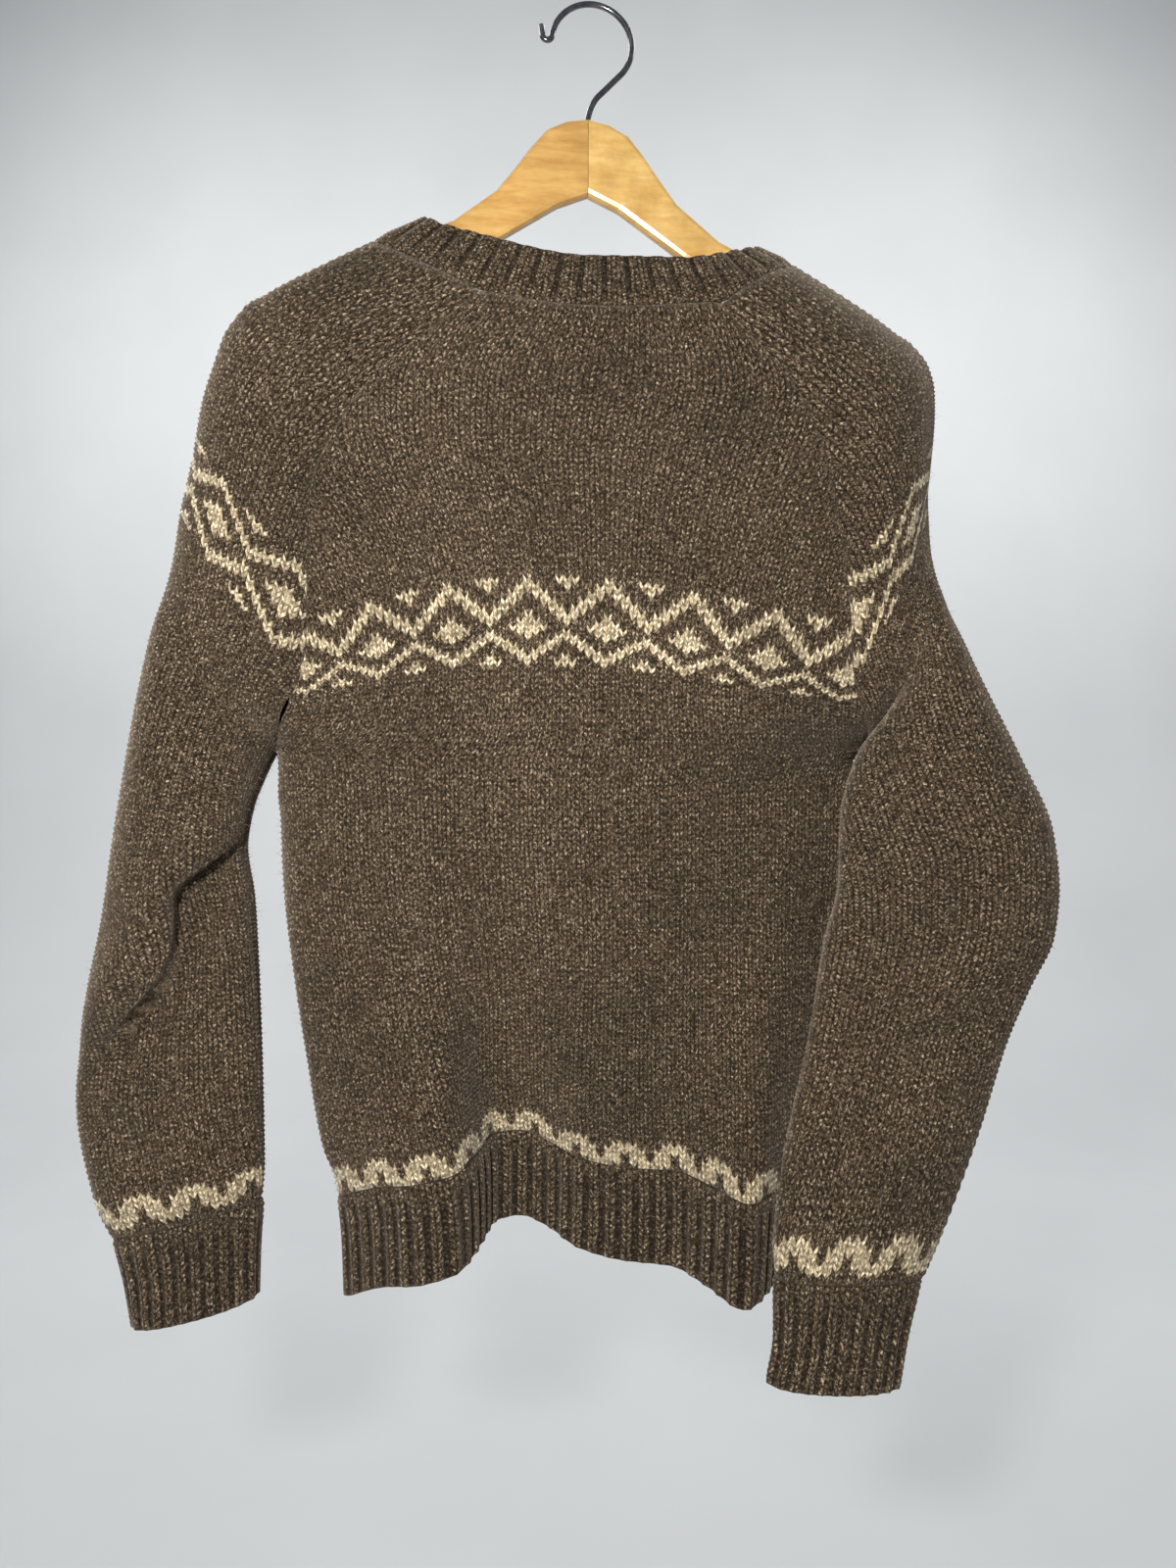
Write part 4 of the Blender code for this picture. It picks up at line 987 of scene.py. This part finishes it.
def set_inputs(node, **inputs):
    """Set a node's inputs, whose names have _ for a space."""
    for key, value in inputs.items():
        node.inputs[key.replace("_", " ")].default_value = value
    return node


def new_material(name, **inputs):
    """Start a material; give it, its node tree and its shader with some inputs set."""
    material = bpy.data.materials.new(name)
    material.use_nodes = True
    tree = material.node_tree
    return material, tree, set_inputs(tree.nodes["Principled BSDF"], **inputs)


def own_place(tree):
    """Give the place on the object."""
    return tree.nodes.new("ShaderNodeTexCoord").outputs["Object"]


def ramped(tree, source, stops):
    """Turn a node's grey value into colour by stops of place and colour."""
    node = tree.nodes.new("ShaderNodeValToRGB")
    elements = node.color_ramp.elements
    while len(elements) < len(stops):
        elements.new(1)
    for element, (place, colour) in zip(elements, stops):
        element.position = place
        element.color = (*colour, 1)
    tree.links.new(source.outputs["Fac"], node.inputs["Fac"])
    return node.outputs["Color"]


def noise(tree, place, scale, detail, roughness=0.5):
    """Add a noise texture read at a place."""
    node = tree.nodes.new("ShaderNodeTexNoise")
    set_inputs(node, Scale=scale, Detail=detail, Roughness=roughness)
    tree.links.new(place, node.inputs["Vector"])
    return node


def product(tree, result, *colours):
    """Multiply colours together."""
    for colour in colours:
        node = tree.nodes.new("ShaderNodeMix")
        node.data_type = "RGBA"
        node.blend_type = "MULTIPLY"
        node.inputs["Factor"].default_value = 1
        tree.links.new(result, node.inputs[6])
        tree.links.new(colour, node.inputs[7])
        result = node.outputs[2]
    return result


def finish_shader(tree, shader, colour, source, strength, distance):
    """Give a shader its colour, and a bump by a texture's grey value."""
    tree.links.new(colour, shader.inputs["Base Color"])
    bump = set_inputs(tree.nodes.new("ShaderNodeBump"), Strength=strength, Distance=distance)
    tree.links.new(source.outputs["Fac"], bump.inputs["Height"])
    tree.links.new(bump.outputs["Normal"], shader.inputs["Normal"])


def wool_material(name, fibres, painted_gap_shade, sheen_tint):
    """Make spun wool: mixed fibres along the yarn, painted shade between stitches, with a soft nap."""
    material, tree, shader = new_material(
        name, Roughness=0.92, Specular_IOR_Level=0.18, Sheen_Weight=0.35, Sheen_Roughness=0.55,
        Sheen_Tint=(*sheen_tint, 1))
    place = own_place(tree)
    # Painted shade: the crest attribute darkens the colour towards the stitches' corners
    crest = tree.nodes.new("ShaderNodeAttribute")
    crest.attribute_name = "crest"
    colour = product(
        tree,
        ramped(tree, noise(tree, place, FIBRE_SCALE, 2, 0.7), fibres),
        ramped(tree, noise(tree, place, CLOUD_SCALE, 3), WOOL_CLOUDS),
        ramped(tree, noise(tree, place, STRAND_SCALE, 1), WOOL_STRANDS),
        ramped(tree, crest, ((0, painted_gap_shade), (0.62, (1, 1, 1)))))
    finish_shader(tree, shader, colour, noise(tree, place, GRAIN_SCALE, 2, 0.6), 0.5, 0.0006)
    return material


def wood_material(name, turn, light, dark, mottle):
    """Make lacquered wood whose grain runs along one hanger arm."""
    material, tree, shader = new_material(name, Roughness=0.3, Coat_Weight=0.5, Coat_Roughness=0.12)
    place = own_place(tree)
    mapping = set_inputs(tree.nodes.new("ShaderNodeMapping"), Rotation=(0, math.radians(turn), 0),
                         Scale=WOOD_STRETCH)
    tree.links.new(place, mapping.inputs["Vector"])
    grain = noise(tree, mapping.outputs["Vector"], 2.4, 6, 0.62)
    colour = product(
        tree,
        ramped(tree, grain, ((0.3, dark), (0.62, light))),
        ramped(tree, noise(tree, place, mottle, 4, 0.6), WOOD_CLOUDS))
    finish_shader(tree, shader, colour, grain, 0.15, 0.0004)
    return material


def mottled_material(name, scale, stops, **inputs):
    """Make a material of one colour that varies a little."""
    material, tree, shader = new_material(name, **inputs)
    colour = ramped(tree, noise(tree, own_place(tree), scale, 3), stops)
    tree.links.new(colour, shader.inputs["Base Color"])
    return material


def around(centre, radius, turn):
    """Give the point at a turn round a centre."""
    return centre[0] + radius * math.cos(turn), centre[1] + radius * math.sin(turn)


def build_hook():
    """Bend the hook's wire, finely rounded: a rolled tip, a round bend and a stem to the centre."""
    roll_centre = around(HOOK_CENTRE, HOOK_RADIUS + ROLL_RADIUS, HOOK_TIP_TURN)
    tip = around(roll_centre, ROLL_RADIUS, HOOK_TIP_TURN)
    out = around((0, 0), ROLL_STUB, HOOK_TIP_TURN)
    points = [(tip[0] - out[1], tip[1] - out[0])]
    for turn in np.linspace(HOOK_TIP_TURN, HOOK_TIP_TURN + math.pi, ROLL_STEPS)[:-1]:
        points.append(around(roll_centre, ROLL_RADIUS, turn))
    for turn in np.linspace(HOOK_TIP_TURN, HOOK_STEM_TURN, BEND_STEPS):
        points.append(around(HOOK_CENTRE, HOOK_RADIUS, turn))
    stem = [points[-1]] + list(HOOK_STEM)
    table = [(key, x, z) for key, (x, z) in zip(np.linspace(0, 1, len(stem)), stem)]
    points += [tuple(read_table(table, key)) for key in np.linspace(0, 1, STEM_STEPS)[1:]]
    curve = bpy.data.curves.new("hook_wire", "CURVE")
    curve.dimensions = "3D"
    curve.bevel_depth = WIRE_RADIUS
    curve.bevel_resolution = 6
    curve.use_fill_caps = True
    spline = curve.splines.new("POLY")
    spline.points.add(len(points) - 1)
    for place, (x, z) in zip(spline.points, points):
        place.co = (x * math.cos(HANGER_YAW), x * math.sin(HANGER_YAW), z, 1)
    curve.materials.append(mottled_material("dark_chrome", 240, METAL_TONES, Metallic=1, Roughness=0.16))
    return add_item("hook_wire", curve)


def build_hanger():
    """Finish the hanger's arms and put a smooth wire in place of the plain one."""
    for side, looks in WOODS.items():
        material = wood_material("wood_" + side, *looks)
        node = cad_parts["hanger_arm_" + side]
        for place in range(len(node.data.materials)):
            node.data.materials[place] = material
    hook = build_hook()
    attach(hook, "root")
    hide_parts("hanger_hook")


def build_stage():
    """Set a pale floor below the sweater, which curves up far behind it."""
    profile = [(WALL_Y, WALL_TOP)]
    for turn in np.linspace(0, -0.5 * math.pi, COVE_STEPS):
        profile.append(around((WALL_Y - COVE, FLOOR_Z + COVE), COVE, turn))
    profile.append((-STAGE_DEPTH, FLOOR_Z))
    verts = [(x, y, z) for y, z in profile for x in (-STAGE_HALF, STAGE_HALF)]
    faces = [(start, start + 1, start + 3, start + 2) for start in range(0, len(verts) - 2, 2)]
    paint = mottled_material("pale_paint", 3, PAINT_TONES, Roughness=0.7)
    item = add_mesh("backdrop", verts, faces, [paint])
    item.data.shade_smooth()


def add_light(name, place, target, size, power, colour):
    """Add one soft area light that faces a target."""
    data = bpy.data.lights.new(name, "AREA")
    data.shape = "DISK"
    data.size = size
    data.energy = power
    data.color = colour
    item = add_item(name, data)
    item.visible_camera = False
    item.location = place
    way = Vector(target) - Vector(place)
    item.rotation_euler = way.to_track_quat("-Z", "Y").to_euler()


def build_lights():
    """Light the scene softly, mostly from the upper left in front."""
    for light in LIGHTS:
        add_light(*light)
    world = bpy.data.worlds.new("soft_room")
    world.use_nodes = True
    set_inputs(world.node_tree.nodes["Background"], Color=(0.92, 0.95, 1, 1), Strength=ROOM_LIGHT)
    bpy.context.scene.world = world


def build_camera():
    """Stand the camera where the photograph was taken from."""
    data = bpy.data.cameras.new("camera")
    data.lens = CAMERA_LENS
    data.sensor_width = 36
    data.clip_start = 0.01
    item = add_item("camera", data)
    item.location = CAMERA_PLACE
    item.rotation_euler = (math.radians(90), 0, 0)
    bpy.context.scene.camera = item


def main():
    """Dress the sweater and its hanger, and set the scene around them."""
    build_camera()
    build_stage()
    build_lights()
    build_knit([wool_material(name, *looks) for name, looks in WOOLS.items()])
    build_hanger()
    view = bpy.context.scene.view_settings
    view.view_transform = "Standard"
    view.exposure = 0


main()
